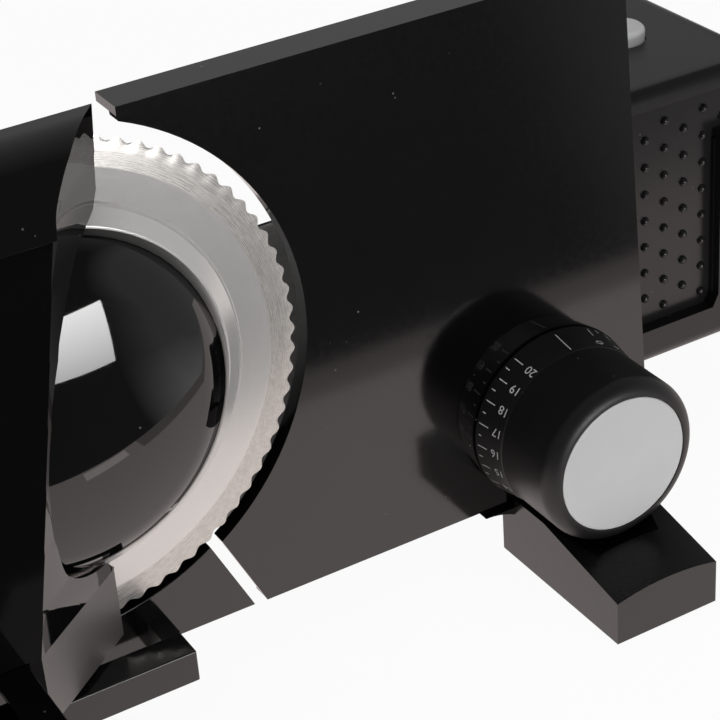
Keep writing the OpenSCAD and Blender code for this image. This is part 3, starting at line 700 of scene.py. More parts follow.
# Painted shade: a darker copy of the foot's black for the faces that look up, with a lower specular level.
FOOT_TOP_PAINTED_SHADE = Finish(
    "foot_top_painted_shade", (0.004, 0.0034, 0.0036), (0.005, 0.0043, 0.0045), 0.0,
    (0.26, 0.32), 1800.0, 0.006, 0.25, specular=0.25,
)
# Painted reflection: the recess floor in a lighter copy of the housing's black, for the table that it
# reflects.
RECESS_PAINTED_REFLECTION = Finish(
    "recess_painted_reflection", (0.015, 0.0137, 0.014), (0.018, 0.0164, 0.0168), 0.0, (0.2, 0.26), 1500.0, 0.0015, 0.3
)
# Painted light and reflection: a pale facing on the housing where the gap beside the blade shows light.
GAP_PAINTED_LIGHT = Finish(
    "gap_painted_light", (0.92, 0.91, 0.9), (0.84, 0.83, 0.82), 0.05, (0.22, 0.3), 900.0, 0.004, pattern=Pattern.DRAWN
)
RUBBER = Finish("pad_rubber", (0.022, 0.022, 0.022), (0.03, 0.03, 0.03), 0.0, (0.7, 0.85), 1500.0, 0.02)
CAP_GREY = Finish("cap_grey", (0.72, 0.72, 0.725), (0.75, 0.75, 0.755), 0.0, (0.4, 0.5), 2500.0, 0.004, 0.1)
PRINT_WHITE = Finish("dial_print", (0.5, 0.5, 0.5), (0.58, 0.58, 0.58), 0.0, (0.5, 0.6), 2500.0, 0.0)
BEVEL_STEEL = Finish(
    "ground_bevel", (0.7, 0.672, 0.644), (0.59, 0.566, 0.54), 0.6, (0.22, 0.34), 4200.0, 0.0025,
    pattern=Pattern.TURNED, anisotropy=0.1,
)
FACE_STEEL = Finish(
    "blade_face", (0.82, 0.801, 0.783), (0.8, 0.781, 0.764), 0.5, (0.2, 0.25), 2600.0, 0.0005,
    pattern=Pattern.TURNED,
)
RING_STEEL = Finish(
    "hub_ring_steel", (0.88, 0.864, 0.846), (0.86, 0.844, 0.826), 0.5, (0.27, 0.272), 3200.0, 0.0,
    pattern=Pattern.TURNED,
)
SHAFT_STEEL = Finish("turned_steel", (0.55, 0.55, 0.55), (0.48, 0.48, 0.48), 1.0, (0.25, 0.4), 2600.0, 0.002)
RAIL_ALLOY = Finish(
    "rail_alloy", (0.008, 0.0075, 0.0078), (0.01, 0.0095, 0.0098), 0.0, (0.12, 0.18), 4000.0, 0.001,
    pattern=Pattern.DRAWN, specular=0.7,
)
BRONZE = Finish("sintered_bronze", (0.42, 0.28, 0.12), (0.34, 0.22, 0.09), 1.0, (0.4, 0.6), 2400.0, 0.01)
IVORY = Finish("ivory_plastic", (0.62, 0.58, 0.48), (0.57, 0.53, 0.44), 0.0, (0.4, 0.5), 1800.0, 0.004)
COPPER = Finish(
    "wound_copper", (0.45, 0.2, 0.1), (0.3, 0.12, 0.05), 1.0, (0.3, 0.5), 3000.0, 0.05, pattern=Pattern.DRAWN
)
ZINC = Finish("zinc_plate", (0.42, 0.43, 0.45), (0.36, 0.37, 0.4), 1.0, (0.3, 0.5), 900.0, 0.004)
SCREW_BLACK = Finish(
    "blackened_screw", (0.05, 0.05, 0.05), (0.03, 0.03, 0.03), 1.0,
    (0.35, 0.5), 2000.0, 0.004,
)


@dataclass
class BladeGroup:
    """Scalloped disc blade, bright hub ring and black dome.

    Attributes:
        radius: radius over the teeth.
        teeth: scallops round the edge.
        depth: depth of one scallop.
        bevel: width of the ground bevel.
        bevel_rise: height at the bevel's inner edge.
        face_rise: height of the raised face.
        ring: outer radius of the hub ring.
        ring_top: height of the hub ring's top.
        dome_foot: radius of the dome's foot.
        dome_h: height of the dome above the ring.
        shoulder: radius of the dome's shoulder.
        sink: depth of the shoulder's centre below the dome's foot.
        bore: radius of the disc's bore.
        hollow: depth of the hollow grinding in a valley.
        seat: inner radius of the hub ring.
        spigot: inner and outer radius of the dome's spigot.
        per_tooth: vertices round one tooth.
    """

    radius: float = 85.0
    teeth: int = 73
    depth: float = 1.6
    bevel: float = 9.5
    bevel_rise: float = 0.8
    face_rise: float = 1.9
    ring: float = 64.0
    ring_top: float = 5.5
    dome_foot: float = 58.2
    dome_h: float = 22.5
    shoulder: float = 25.0
    sink: float = 8.0
    bore: float = 14.0
    hollow: float = 0.03
    seat: float = 51.0
    spigot: Corner = (47.5, 50.0)
    per_tooth: int = 8

    @property
    def centre(self) -> Vector:
        """Middle of the cutting edge, in the part's frame."""
        return at(0.0, 0.0, 0.0)

    def build(self) -> None:
        """Builds and dresses the pieces that turn with the blade."""
        self.blade()
        self.hub()
        self.dome()

    def blade(self) -> None:
        """The disc: turned rings, with the outer ones pulled in between the teeth."""
        edge, rim = self.radius, self.radius - self.depth
        inner = self.radius - self.bevel
        profile = [
            (self.bore, self.face_rise),
            (self.ring - 1.0, self.face_rise),
            (self.ring + 0.6, self.face_rise),
            (self.ring + 1.3, self.bevel_rise + 0.12),
            (inner - 0.25, self.bevel_rise + 0.02),
            (inner + 0.25, self.bevel_rise - 0.01),
            (rim - 3.2, self.bevel_rise - 0.26),
            (rim - 0.6, 0.36),
            (edge, 0.0),
            (edge - 3.0, -0.55),
            (edge - 3.6, -0.6),
            (self.bore, -0.6),
            (self.bore, self.face_rise),
        ]
        piece = Workpiece.turned("blade", profile, self.teeth * self.per_tooth, self.centre)
        piece.edit()
        for step in range(self.per_tooth):
            self.pull_valley(piece, step)
            self.grind(piece, step, rim - 0.6)
        bpy.ops.object.mode_set(mode="OBJECT")
        self.mark_faces(piece.obj, inner)
        piece.smooth(24.0)
        piece.finish("blade", "blade_steel", (FACE_STEEL, BEVEL_STEEL), ["blade_disc"])

    def pull_valley(self, piece: Workpiece, step: int) -> None:
        """Pulls one vertex of every tooth towards the axis.

        Args:
            piece: the disc, in edit mode.
            step: which vertex of a tooth is pulled.
        """
        drop = self.depth * self.valley(step)
        at_edge = self.radius - 0.05
        if drop > 1e-4 and piece.pick(
            lambda v: self.tooth_step(v) == step and off_axis(v, self.centre) > at_edge
        ):
            factor = (self.radius - drop) / self.radius
            bpy.ops.transform.resize(value=(factor, 1.0, factor), center_override=self.centre)

    def grind(self, piece: Workpiece, step: int, ring: float) -> None:
        """Waves one ring of the bevel, so that every valley is hollow ground.

        Args:
            piece: the disc, in edit mode.
            step: which vertex of a tooth is moved.
            ring: radius of the ring.
        """
        middle = self.centre
        level = middle.y + 0.05 * MM
        shift = self.hollow * (0.5 - self.valley(step)) * MM
        if piece.pick(
            lambda v: self.tooth_step(v) == step and abs(off_axis(v, middle) - ring) < 0.1 and v.y < level
        ):
            bpy.ops.transform.translate(value=FORWARD * shift)

    def valley(self, step: int) -> float:
        """How far a vertex of a tooth lies in the valley: 1 in its middle and 0 at the tip."""
        return 0.5 * (1.0 + math.cos(2.0 * math.pi * step / self.per_tooth))

    def tooth_step(self, place: Vector) -> int:
        """Numbers a vertex within its tooth.

        Args:
            place: the vertex's place in the part's frame.

        Returns:
            Its number, 0 in the middle of a valley.
        """
        away = place - self.centre
        share = math.atan2(away.z, away.x) / (2.0 * math.pi)
        return round(share * self.teeth * self.per_tooth) % self.per_tooth

    def mark_faces(self, obj: bpy.types.Object, inner: float) -> None:
        """Gives the bevel, which starts at an inner radius, and the edge their own material index."""
        for face in obj.data.polygons:
            face.material_index = 1 if off_axis(face.center, self.centre) > inner else 0

    def hub(self) -> None:
        """The bright ring with its tapered face and soft edges."""
        profile = [
            (self.seat, self.face_rise), (self.ring - 0.4, self.face_rise), (self.ring, self.face_rise + 0.3),
            (self.ring - 0.5, self.face_rise + 0.75), (self.dome_foot + 0.9, self.ring_top - 0.15),
            (self.dome_foot + 0.4, self.ring_top), (self.seat, self.ring_top), (self.seat, self.face_rise),
        ]
        piece = Workpiece.turned("hub_ring_bright", profile, 192, self.centre)
        piece.smooth(30.0).finish("blade", "ring_steel", (RING_STEEL,), ["hub_ring"])

    def dome(self) -> None:
        """The dome: a shoulder arc that runs into a flatter crown, over a short spigot."""
        reach = self.dome_foot - math.sqrt(self.shoulder**2 - self.sink**2)
        drop = -self.sink - self.dome_h
        crown = (self.shoulder**2 - reach**2 - drop**2) / (2.0 * (drop + self.shoulder))
        meet = math.degrees(math.atan2(crown - self.dome_h - self.sink, reach))
        start = math.degrees(math.asin(self.sink / self.shoulder))
        outline = arc((reach, -self.sink), self.shoulder, start, meet, 14)
        outline += arc((0.0, self.dome_h - crown), crown, meet, 90.0, 12)[1:]
        low, top = self.face_rise + 0.2, self.ring_top
        shell = [(r, h + top) for r, h in outline[:-1]] + [(0.0, top + self.dome_h)]
        inner, outer = self.spigot
        foot = [(inner, low), (outer, low), (outer, top), (self.dome_foot - 0.3, top)]
        piece = Workpiece.turned("dome", foot + shell, 160, self.centre)
        piece.fill(lambda place: abs(off_axis(place, self.centre) - inner) < 0.1)
        piece.smooth(50.0).finish("blade", "gloss_black", (DOME_BLACK,), ["dome_cover"])


@dataclass
class KnobGroup:
    """Thickness knob: scale ring with its print, grip and pale cap.

    Attributes:
        base_r: radius of the scale ring at the plate.
        seam_r: radius at the seam between ring and grip.
        ring: heights of the ring's ends in front of the plate.
        front: height of the grip's front.
        rounding: rounding of the grip's front edge.
        step: degrees between two whole millimetres on the dial.
        first: angle of the number 0, clockwise from the top.
        numbers: how many numbers the dial has.
        bore: radius of the bore of ring and grip.
        sink: depth of the cap's seat behind the grip's front.
        line: width of a printed line.
        digits: height of a printed number.
        lift: height of the print above the ring.
        ink: thickness of the print.
        number_at: height of the numbers' middle in front of the plate.
        pointer: ends of the line at the top.
        whole: ends of the line at a whole millimetre.
        half: ends of the line at a half.
    """

    base_r: float = 33.0
    seam_r: float = 30.8
    ring: Corner = (0.4, 13.7)
    front: float = 42.4
    rounding: float = 5.6
    step: float = 15.25
    first: float = 25.25
    numbers: int = 21
    bore: float = 9.0
    sink: float = 1.2
    line: float = 0.4
    digits: float = 4.5
    lift: float = 0.03
    ink: float = 0.04
    number_at: float = 10.7
    pointer: Corner = (3.0, 12.3)
    whole: Corner = (1.7, 6.4)
    half: Corner = (1.7, 3.8)

    @property
    def centre(self) -> Vector:
        """Point of the knob's axis in the plate's front face."""
        return at(*KNOB)

    def build(self) -> None:
        """Builds and dresses the pieces that turn with the knob."""
        low, high = self.ring
        ring = [
            (self.bore, low), (self.base_r - 0.4, low), (self.base_r, low + 0.5),
            (self.seam_r + 0.05, high - 0.35), (self.seam_r - 0.45, high),
            (self.bore, high), (self.bore, low),
        ]
        Workpiece.turned("dial_ring", ring, 160, self.centre).smooth(34.0).finish(
            "knob", "satin_black", (SATIN_BLACK,), ["scale_ring"]
        )
        cap_r = self.seam_r - self.rounding
        front, floor = self.front, self.front - self.sink
        grip = [(self.bore, high), (self.seam_r - 0.5, high), (self.seam_r, high + 0.45)]
        grip += arc((cap_r, front - self.rounding), self.rounding, 0.0, 84.0, 12)
        grip += [(cap_r + 0.15, front - 0.05), (cap_r, front - 0.25), (cap_r, floor)]
        grip += [(self.bore, floor), (self.bore, high)]
        Workpiece.turned("knob_body", grip, 160, self.centre).smooth(40.0).finish(
            "knob", "satin_black", (SATIN_BLACK,), ["knob_grip"]
        )
        cap = [
            (10.0, floor), (cap_r - 0.12, floor), (cap_r - 0.12, front - 0.3), (cap_r - 0.4, front - 0.04),
            (cap_r - 0.8, front), (10.0, front), (0.0, front),
        ]
        piece = Workpiece.turned("knob_face", cap, 128, self.centre)
        back = self.centre.y - floor * MM
        piece.fill(lambda place: abs(place.y - back) < 0.01 * MM and off_axis(place, self.centre) < 10.5)
        piece.smooth(40.0).finish("knob", "cap_silver", (CAP_GREY,), ["knob_cap"])
        self.print_dial()

    def surface(self, angle: float, along: float) -> Vector:
        """A point of the print on the scale ring's face.

        Args:
            angle: degrees clockwise from the top, seen from the front.
            along: height in front of the plate.

        Returns:
            The point in the part's frame.
        """
        low, high = self.ring
        radius = self.base_r + (self.seam_r - self.base_r) * (along - low) / (high - low) + self.lift
        turn = math.radians(angle)
        return at(KNOB[0] + radius * math.sin(turn), -along, KNOB[2] + radius * math.cos(turn))

    @staticmethod
    def outward(angle: float) -> Vector:
        """Direction away from the knob's axis, at degrees clockwise from the top."""
        turn = math.radians(angle)
        return Vector((math.sin(turn), 0.0, math.cos(turn)))

    def frame(self, angle: float, along: float) -> Matrix:
        """Axes of a printed number: it reads from the cap towards the plate.

        Args:
            angle: degrees clockwise from the top, seen from the front.
            along: height of its middle in front of the plate.

        Returns:
            The matrix that takes flat text to its place.
        """
        reading = (self.surface(angle, along - 1.0) - self.surface(angle, along)).normalized()
        upward = self.outward(angle).cross(reading).normalized()
        normal = reading.cross(upward).normalized()
        matrix = Matrix((reading, upward, normal)).transposed().to_4x4()
        matrix.translation = self.surface(angle, along)
        return matrix

    def mark(self, angle: float, start: float, stop: float) -> Workpiece:
        """One printed line along the ring.

        Args:
            angle: degrees clockwise from the top.
            start: end next to the plate.
            stop: end next to the grip.

        Returns:
            The line.
        """
        wide = math.degrees(self.line / 2.0 / self.base_r)
        ends = ((-wide, start), (wide, start), (wide, stop), (-wide, stop))
        corners = [self.surface(angle + side, along) for side, along in ends]
        return Workpiece.traced("dial_mark", corners, self.outward(angle) * self.ink * MM)

    def number(self, value: int, angle: float) -> Workpiece:
        """One printed number.

        Args:
            value: the number.
            angle: degrees clockwise from the top.

        Returns:
            The number as a mesh.
        """
        Workpiece.clear_selection()
        bpy.ops.object.text_add()
        obj = bpy.context.object
        obj.data.body = str(value)
        obj.data.align_x = "CENTER"
        obj.data.align_y = "CENTER"
        obj.data.size = self.digits * MM
        obj.data.extrude = self.ink / 2.0 * MM
        bpy.ops.object.convert(target="MESH")
        obj = bpy.context.object
        obj.matrix_world = self.frame(angle, self.number_at)
        bpy.ops.object.transform_apply(location=True, rotation=True, scale=True)
        return Workpiece(obj)

    def print_dial(self) -> None:
        """Prints the lines and numbers and joins them into one piece."""
        prints = [self.mark(0.0, *self.pointer)]
        for value in range(self.numbers):
            angle = self.first + value * self.step
            prints.append(self.mark(angle, *self.whole))
            prints.append(self.number(value, angle))
            if value + 1 < self.numbers:
                prints.append(self.mark(angle + self.step / 2.0, *self.half))
        Workpiece.clear_selection()
        for each in prints:
            each.obj.select_set(True)
        bpy.context.view_layer.objects.active = prints[0].obj
        bpy.ops.object.join()
        joined = Workpiece(bpy.context.object)
        joined.obj.name = "dial_marks"
        joined.finish("knob", "cap_silver", (PRINT_WHITE,))


@dataclass
class Casting:
    """A CAD solid that gets soft edges and a finish.

    Attributes:
        name: name of the piece.
        node: the CAD node that it stands for.
        body: the body that it rides on.
        slot: material slot of the record.
        look: its finish.
        edge: width of the edge rounding, in millimetres.
        segments: steps across the rounding.
    """

    name: str
    node: str
    body: str
    slot: str
    look: Finish
    edge: float
    segments: int = 3

    def build(self, solids: Solids) -> None:
        """Builds and dresses the piece.

        Args:
            solids: CAD nodes by name.
        """
        piece = Workpiece.from_solid(self.name, solids[self.node])
        self.reshape(piece)
        piece.soften(self.edge, self.segments)
        piece.finish(self.body, self.slot, self.looks, [self.node])

    @property
    def looks(self) -> tuple[Finish, ...]:
        """One finish for each material index."""
        return (self.look,)

    def reshape(self, piece: Workpiece) -> None:
        """Leaves a plain casting as it is."""


@dataclass
class HandGuard(Casting):
    """The hand guard, with a crease where its rounded top meets the front panel.

    Attributes:
        front: place of the front panel.
        ledge: height of the crease.
        rounding: radius of the rounded top.
        step: step between the round and the panel.
        tilt: tilt of the flat run above the crease, in degrees.
        skirt: top of the skirt.
    """

    front: float = -31.5
    ledge: float = 68.5
    rounding: float = 23.0
    step: float = 1.0
    tilt: float = 22.0
    skirt: float = -64.0

    @property
    def looks(self) -> tuple[Finish, ...]:
        """The hood, its skirt, painted paler as a painted reflection, and its front panel."""
        return (self.look, SKIRT_PAINTED_REFLECTION, PANEL_BLACK)

    def reshape(self, piece: Workpiece) -> None:
        """Pulls the foot of the round forward onto a flat run and marks the skirt and the panel.

        Args:
            piece: the copy of the hand guard's solid.
        """
        lean = math.radians(self.tilt)
        end_z = self.ledge + self.rounding * math.sin(lean)
        end_y = self.front + self.step + self.rounding * (1.0 - math.cos(lean))
        piece.edit()
        heights = {round(place.z, 2) for place in self.round_foot(piece, end_y, end_z)}
        for height in sorted(heights):
            self.pull_level(piece, height, end_y, end_y - (end_z - height) * math.tan(lean))
        bpy.ops.object.mode_set(mode="OBJECT")
        # Index 1, the skirt, gets the pale painted reflection.
        top = at(0.0, 0.0, self.skirt).z
        for face in piece.obj.data.polygons:
            panel = face.normal.y < -0.98 and face.center.y < at(0.0, self.front + 0.2, 0.0).y
            face.material_index = 2 if panel else 1 if face.center.z < top and face.normal.x > 0.3 else 0

    def round_foot(self, piece: Workpiece, end_y: float, end_z: float) -> list[Vector]:
        """Finds the vertices at the foot of the round.

        Args:
            piece: the copy of the hand guard's solid.
            end_y: place where the flat run ends.
            end_z: height where it ends.

        Returns:
            Their places in the working frame.
        """
        places = [vertex.co / MM + MIDDLE for vertex in piece.obj.data.vertices]
        low, high = self.front + 0.5, end_y + 0.05
        return [p for p in places if low < p.y < high and self.ledge - 0.1 <= p.z < end_z]

    def pull_level(self, piece: Workpiece, height: float, end_y: float, target: float) -> None:
        """Moves the vertices of one level to their place on the flat run.

        Args:
            piece: the copy of the hand guard's solid, in edit mode.
            height: height of the level.
            end_y: place where the flat run ends.
            target: place of the level on the flat run.
        """
        low = at(0.0, self.front + 0.5, height - 0.02)
        high = at(0.0, end_y + 0.05, height + 0.02)
        if piece.pick(lambda place: low.y < place.y < high.y and low.z < place.z < high.z):
            mesh = bmesh.from_edit_mesh(piece.obj.data)
            here = next(vertex.co.y for vertex in mesh.verts if vertex.select)
            bpy.ops.transform.translate(value=(0.0, at(0.0, target, 0.0).y - here, 0.0))


@dataclass
class Foot(Casting):
    """A front foot, darker and duller on its top than on its sides; the darker top is painted shade."""

    @property
    def looks(self) -> tuple[Finish, ...]:
        """The sides and the top, whose darker colour is painted shade."""
        return (self.look, FOOT_TOP_PAINTED_SHADE)

    def reshape(self, piece: Workpiece) -> None:
        """Marks the faces that look up."""
        # Index 1, the darker top, is painted shade.
        for face in piece.obj.data.polygons:
            face.material_index = 1 if face.normal.z > 0.7 else 0


@dataclass
class Case(Casting):
    """The housing, with a pale facing, painted light and reflection, where the gap beside the blade shows it.

    Attributes:
        facing: the facing's left and right sides.
        front: place of the housing's front.
        floor: place of the dotted recess's floor.
        border: right border of the dotted recess, and how far it moves.
        corner: lower right corner of the recess, and how far it moves.
        dots: a column of dots, and how far to its right another one like it stands.
    """

    facing: Corner = (58.0, 150.0)
    front: float = 30.0
    floor: float = 35.5
    border: Corner = (277.5, 4.0)
    corner: Corner = (272.5, 6.5)
    dots: Corner = (259.3, 17.6)

    @property
    def looks(self) -> tuple[Finish, ...]:
        """The moulding, the facing with its painted light, and the recess, whose lighter floor is painted
        reflection.
        """
        return (self.look, GAP_PAINTED_LIGHT, RECESS_PAINTED_REFLECTION)

    def reshape(self, piece: Workpiece) -> None:
        """Moves the recess's border, cuts the front into three and marks the facing and the recess.

        Args:
            piece: the copy of the housing's solid.
        """
        piece.edit()
        self.widen(piece, *self.border)
        self.widen(piece, *self.corner)
        self.add_dots(piece, *self.dots)
        for side in self.facing:
            bpy.ops.mesh.select_all(action="SELECT")
            bpy.ops.mesh.bisect(plane_co=at(side, 0.0, 0.0), plane_no=(1.0, 0.0, 0.0))
        bpy.ops.object.mode_set(mode="OBJECT")
        left, right = (at(side, self.front, 0.0) for side in self.facing)
        floor = at(0.0, self.floor, 0.0).y
        # Index 1, the facing, is painted light and reflection; index 2, the recess floor, is painted
        # reflection.
        for face in piece.obj.data.polygons:
            middle = face.center
            inside = left.x < middle.x < right.x and abs(middle.y - left.y) < 0.3 * MM
            deep = floor - 2.0 * MM < middle.y < floor + 0.1 * MM
            low = middle.x > right.x and deep and face.normal.y < -0.1
            face.material_index = 1 if inside else 2 if low else 0

    def add_dots(self, piece: Workpiece, column: float, shift: float) -> None:
        """Repeats the lower dots of one column beside the border.

        Args:
            piece: the copy of the housing's solid, in edit mode.
            column: place of the column.
            shift: how far to the right the copy stands, in millimetres.
        """
        low = at(column - 1.8, self.floor - 1.9, -74.0)
        high = at(column + 1.8, self.floor - 0.05, -3.0)
        if piece.pick_box(low, high):
            bpy.ops.mesh.duplicate()
            bpy.ops.transform.translate(value=(shift * MM, 0.2 * MM, 0.0))

    def widen(self, piece: Workpiece, side: float, shift: float) -> None:
        """Moves one upright line of the recess's border to the right.

        Args:
            piece: the copy of the housing's solid, in edit mode.
            side: place of the line.
            shift: how far it moves, in millimetres.
        """
        low = at(side - 0.1, self.front - 0.1, -90.0)
        high = at(side + 0.1, self.floor + 0.1, 0.0)
        if piece.pick_box(low, high):
            bpy.ops.transform.translate(value=(shift * MM, 0.0, 0.0))


@dataclass
class Bodywork:
    """Plates, housing, feet, carriage and hand guard."""

    castings: list[Casting] = field(default_factory=lambda: [
        Casting("plate", "gauge_plate", "plate", "plate_black", PLATE_BLACK, 1.2, segments=4),
        Casting("lower_plate", "front_plate", "frame", "plate_black", PLATE_BLACK, 0.7),
        HandGuard("guard", "hand_guard", "guard", "gloss_black", GLOSS_BLACK, 0.9),
        Casting("tray", "carriage_tray", "carriage", "gloss_black", GLOSS_BLACK, 0.9),
        Case("case", "housing", "frame", "house_black", HOUSE_BLACK, 0.5),
        Casting("case_cover", "rear_cover", "frame", "house_black", HOUSE_BLACK, 0.8),
        Foot("foot_right", "right_foot", "frame", "satin_black", FOOT_BLACK, 0.6),
        Foot("foot_left", "left_foot", "frame", "satin_black", FOOT_BLACK, 0.8),
        Casting("feet_rear", "rear_feet", "frame", "satin_black", FOOT_BLACK, 1.2),
        Casting("start_key", "start_button", "start", "cap_silver", CAP_GREY, 0.3),
        Casting("lock_key", "lock_button", "lock", "satin_black", SATIN_BLACK, 0.3),
        Casting("inlet", "cable_inlet", "frame", "satin_black", SATIN_BLACK, 0.6),
        Casting("case_screws", "cover_screws", "frame", "screw_black", SCREW_BLACK, 0.3),
        Casting("slide_rail", "rail", "frame", "rail_alloy", RAIL_ALLOY, 0.6),
        Casting("rods", "guide_rods", "plate", "shaft_steel", SHAFT_STEEL, 0.4),
    ])

    def build(self, solids: Solids) -> None:
        """Builds every casting."""
        for casting in self.castings:
            casting.build(solids)


@dataclass
class InnerWorks:
    """CAD nodes that stay as they are and only get a finish."""

    looks: dict[str, Finish] = field(default_factory=lambda: {
        "blade_shaft": SHAFT_STEEL, "blade_screws": SHAFT_STEEL, "worm_wheel": IVORY,
        "motor_shaft": SHAFT_STEEL, "worm": BRONZE, "armature": COPPER, "cooling_fan": IVORY,
        "spindle": SHAFT_STEEL, "foot_pads": RUBBER, "rail_brackets": SATIN_BLACK, "shaft_bushes": BRONZE,
        "guide_bushes": BRONZE, "spindle_nut": BRONZE, "motor_can": ZINC, "motor_cradle": SATIN_BLACK,
        "worm_bearing": SATIN_BLACK, "switch_bracket": SATIN_BLACK, "microswitches": SATIN_BLACK,
        "start_spring": SHAFT_STEEL, "lock_spring": SHAFT_STEEL, "runner_bushes": IVORY,
    })

    def dress(self, solids: Solids) -> None:
        """Gives each node its material.

        Args:
            solids: CAD nodes by name.
        """
        for node, look in self.looks.items():
            mesh = solids[node].data
            mesh.materials.clear()
            mesh.materials.append(look.material())
            LOG.info("node %s: %s", node, look.name)


@dataclass(frozen=True)
class Softbox:
    """A soft lamp that the camera doesn't see.

    Attributes:
        name: name of the lamp.
        place: its middle, in the working frame.
        aim: the point that it faces.
        size: width and height, in metres.
        power: power in watts.
        seen: whether glossy surfaces show it.
    """

    name: str
    place: Point
    aim: Point
    size: Corner
    power: float
    seen: bool = False

    def build(self) -> None:
        """Adds the lamp to the scene."""
        data = bpy.data.lights.new(self.name, "AREA")
        data.shape = "RECTANGLE"
        data.size, data.size_y = self.size
        data.energy = self.power
        if self.seen:
            self.fade(data)
        lamp = bpy.data.objects.new(self.name, data)
        bpy.context.scene.collection.objects.link(lamp)
        lamp.location = at(*self.place)
        lamp.rotation_euler = (at(*self.aim) - at(*self.place)).to_track_quat("-Z", "Y").to_euler()
        lamp.visible_camera = False
        lamp.visible_glossy = self.seen

    @staticmethod
    def fade(data: bpy.types.AreaLight) -> None:
        """Dims a softbox towards one side, as its cloth does away from the tube.

        Args:
            data: the lamp's data.
        """
        data.use_nodes = True
        board = Board(data.node_tree)
        across = board.add("SeparateXYZ")
        board.join(board.add("NewGeometry").outputs["Parametric"], across.inputs[0])
        glow = data.node_tree.nodes["Emission"]
        board.join(board.span(across.outputs[1], 0.0, 1.0, 0.5, 1.0), glow.inputs["Strength"])


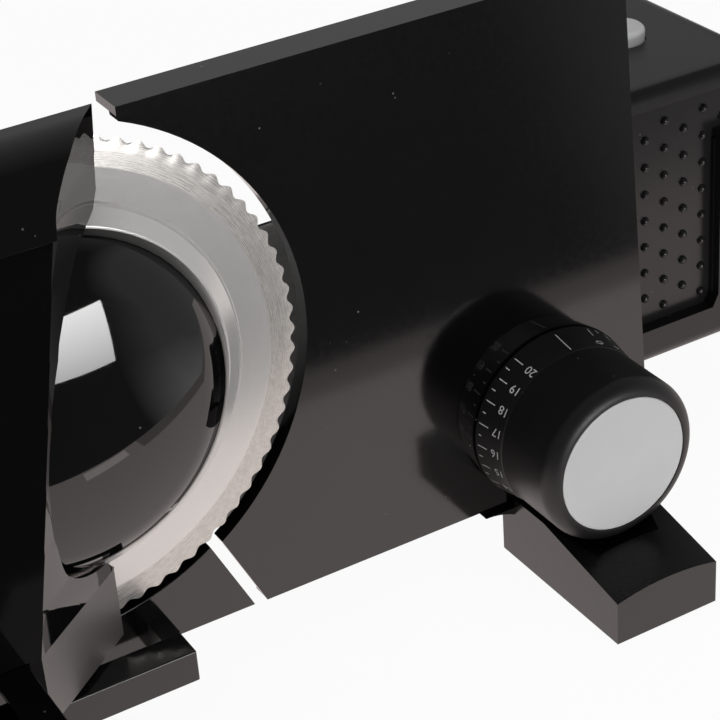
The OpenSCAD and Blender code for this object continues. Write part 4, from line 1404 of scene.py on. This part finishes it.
@dataclass
class Studio:
    """White table, soft lamps and the camera at the photograph's view.

    Attributes:
        table_front: front edge of the white table, in the working frame.
        shade_front: front edge of its shaded strip.
        front_bends: corners of its front edge to the left of that strip.
        table_ends: left end, right end and back of the table.
        strip_left: left end of the shaded strip.
        glow: corners of a painted highlight, a patch of the table that reflections show brighter.
        lens: focal length for a 36 mm sensor.
        eye: place of the camera, in the working frame.
        right: the camera's right.
        up: the camera's up.
        lamps: the soft lamps.
    """

    table_front: float = -139.0
    shade_front: float = -160.0
    front_bends: tuple[Corner, ...] = ((-30.0, -118.0), (-6.0, -139.0), (6.0, -155.0))
    table_ends: Point = (-1400.0, 1700.0, 2200.0)
    strip_left: float = 112.0
    glow: tuple[Corner, ...] = ((42.0, -153.0), (94.0, -157.0), (94.0, -143.0), (42.0, -139.0))
    lens: float = 107.38
    eye: Point = (-179.80, -533.13, 335.30)
    right: Point = (0.8587, -0.5081, -0.0670)
    up: Point = (0.3101, 0.4110, 0.8573)
    lamps: tuple[Softbox, ...] = (
        Softbox("overhead", (60.0, -40.0, 1150.0), (60.0, 0.0, -60.0), (1.3, 1.1), 7.0),
        Softbox("window", (338.0, -972.0, -55.0), (-36.0, -42.0, 25.0), (0.36, 0.31), 4.7, seen=True),
        Softbox("left_fill", (-900.0, -500.0, 300.0), (40.0, 0.0, -20.0), (0.7, 0.7), 4.0),
    )

    def build(self) -> None:
        """Builds the whole set."""
        self.camera()
        near, mid, strip = self.shade_front, self.table_front, self.strip_left
        left, right, back = self.table_ends
        front = [(left, self.front_bends[0][1]), *self.front_bends, (strip, near), (strip, mid)]
        self.table("table", [*front, (right, mid), (right, back), (left, back)], 1.0)
        self.table("table_strip", [(strip, near), (right, near), (right, mid), (strip, mid)], 0.5)
        # Painted highlight: a patch of the table that reflections show brighter.
        self.table("table_painted_highlight", self.glow, 1.9, rise=0.1)
        self.surroundings()
        for lamp in self.lamps:
            lamp.build()

    def camera(self) -> None:
        """The camera, as fitted to the blade, the plate and the knob."""
        data = bpy.data.cameras.new("view")
        data.lens = self.lens
        data.sensor_width = 36.0
        data.clip_start = 0.01
        data.clip_end = 50.0
        camera = bpy.data.objects.new("view", data)
        bpy.context.scene.collection.objects.link(camera)
        right = Vector(self.right).normalized()
        back = right.cross(Vector(self.up)).normalized()
        matrix = Matrix((right, back.cross(right), back)).transposed().to_4x4()
        matrix.translation = at(*self.eye)
        camera.matrix_world = matrix
        bpy.context.scene.camera = camera

    def table(self, name: str, corners: Profile, shine: float, rise: float = 0.0) -> None:
        """A piece of the table, which stays white in the picture and keeps soft shadows.

        Args:
            name: name of the piece.
            corners: its corners from above, in the working frame.
            shine: how bright reflections show it.
            rise: height over the table, in millimetres.
        """
        level = TABLE_LEVEL + rise
        piece = Workpiece.traced(name, [at(x, y, level) for x, y in corners], Vector((0.0, 0.0, -0.004)))
        material = bpy.data.materials.new(name + "_white")
        material.use_nodes = True
        board = Board(material.node_tree)
        nodes = material.node_tree.nodes
        nodes.remove(nodes["Principled BSDF"])
        matte = board.add("BsdfDiffuse")
        board.join((0.9, 0.9, 0.9), matte.inputs["Color"])
        glow = board.add("Emission")
        path = board.add("LightPath")
        seen = board.maths("MAXIMUM", path.outputs["Is Camera Ray"], path.outputs["Is Glossy Ray"])
        share = board.maths("MULTIPLY", seen, 0.95)
        warm = (shine, 0.9 * shine, 0.87 * shine)
        tone = board.mix(path.outputs["Is Camera Ray"], warm, WHITE)
        board.join(tone, glow.inputs["Color"])
        board.layer(share, matte, glow, nodes["Material Output"].inputs["Surface"])
        piece.obj.data.materials.append(material)

    def surroundings(self) -> None:
        """A dim room, paler at its right, round a white backdrop that only the camera sees."""
        world = bpy.data.worlds.new("room")
        world.use_nodes = True
        board = Board(world.node_tree)
        nodes = world.node_tree.nodes
        dim = nodes["Background"]
        white = board.add("Background")
        board.join(WHITE, white.inputs["Color"])
        path = board.add("LightPath")
        board.join(self.room_tone(board, path), dim.inputs["Color"])
        board.layer(path.outputs["Is Camera Ray"], dim, white, nodes["World Output"].inputs["Surface"])
        bpy.context.scene.world = world

    def room_tone(self, board: Board, path: bpy.types.Node) -> Socket:
        """Adds the room's tone: dim all round, and in reflections pale at the right and towards the backdrop.

        Args:
            board: the world's nodes.
            path: the world's Light Path node.

        Returns:
            The tone.
        """
        source = board.add("TexCoord")
        side = board.add("VectorMath", operation="DOT_PRODUCT")
        side.inputs[1].default_value = (0.966, -0.259, 0.0)
        board.join(source.outputs["Generated"], side.inputs[0])
        parts = board.add("SeparateXYZ")
        board.join(source.outputs["Generated"], parts.inputs[0])
        pale = board.span(side.outputs["Value"], 0.685, 0.825, 0.0, 1.0)
        low = board.span(parts.outputs[2], -0.54, -0.26, 0.95, 0.34)
        glossy = path.outputs["Is Glossy Ray"]
        right = board.span(board.maths("MULTIPLY", pale, glossy), 0.0, 1.0, 0.07, low)
        back = board.maths("MULTIPLY", board.span(parts.outputs[1], -0.2, 0.75, 0.07, 0.38), glossy)
        return board.maths("MAXIMUM", right, back)


def main() -> None:
    """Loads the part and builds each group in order."""
    logging.basicConfig(level=logging.INFO, format="%(name)s: %(message)s")
    for old in list(bpy.data.objects):
        bpy.data.objects.remove(old)
    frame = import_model()
    bpy.context.scene.view_settings.view_transform = "Standard"
    Studio().build()
    BladeGroup().build()
    KnobGroup().build()
    Bodywork().build(frame["nodes"])
    InnerWorks().dress(frame["nodes"])
    Workpiece.clear_selection()


if __name__ == "__main__":
    main()
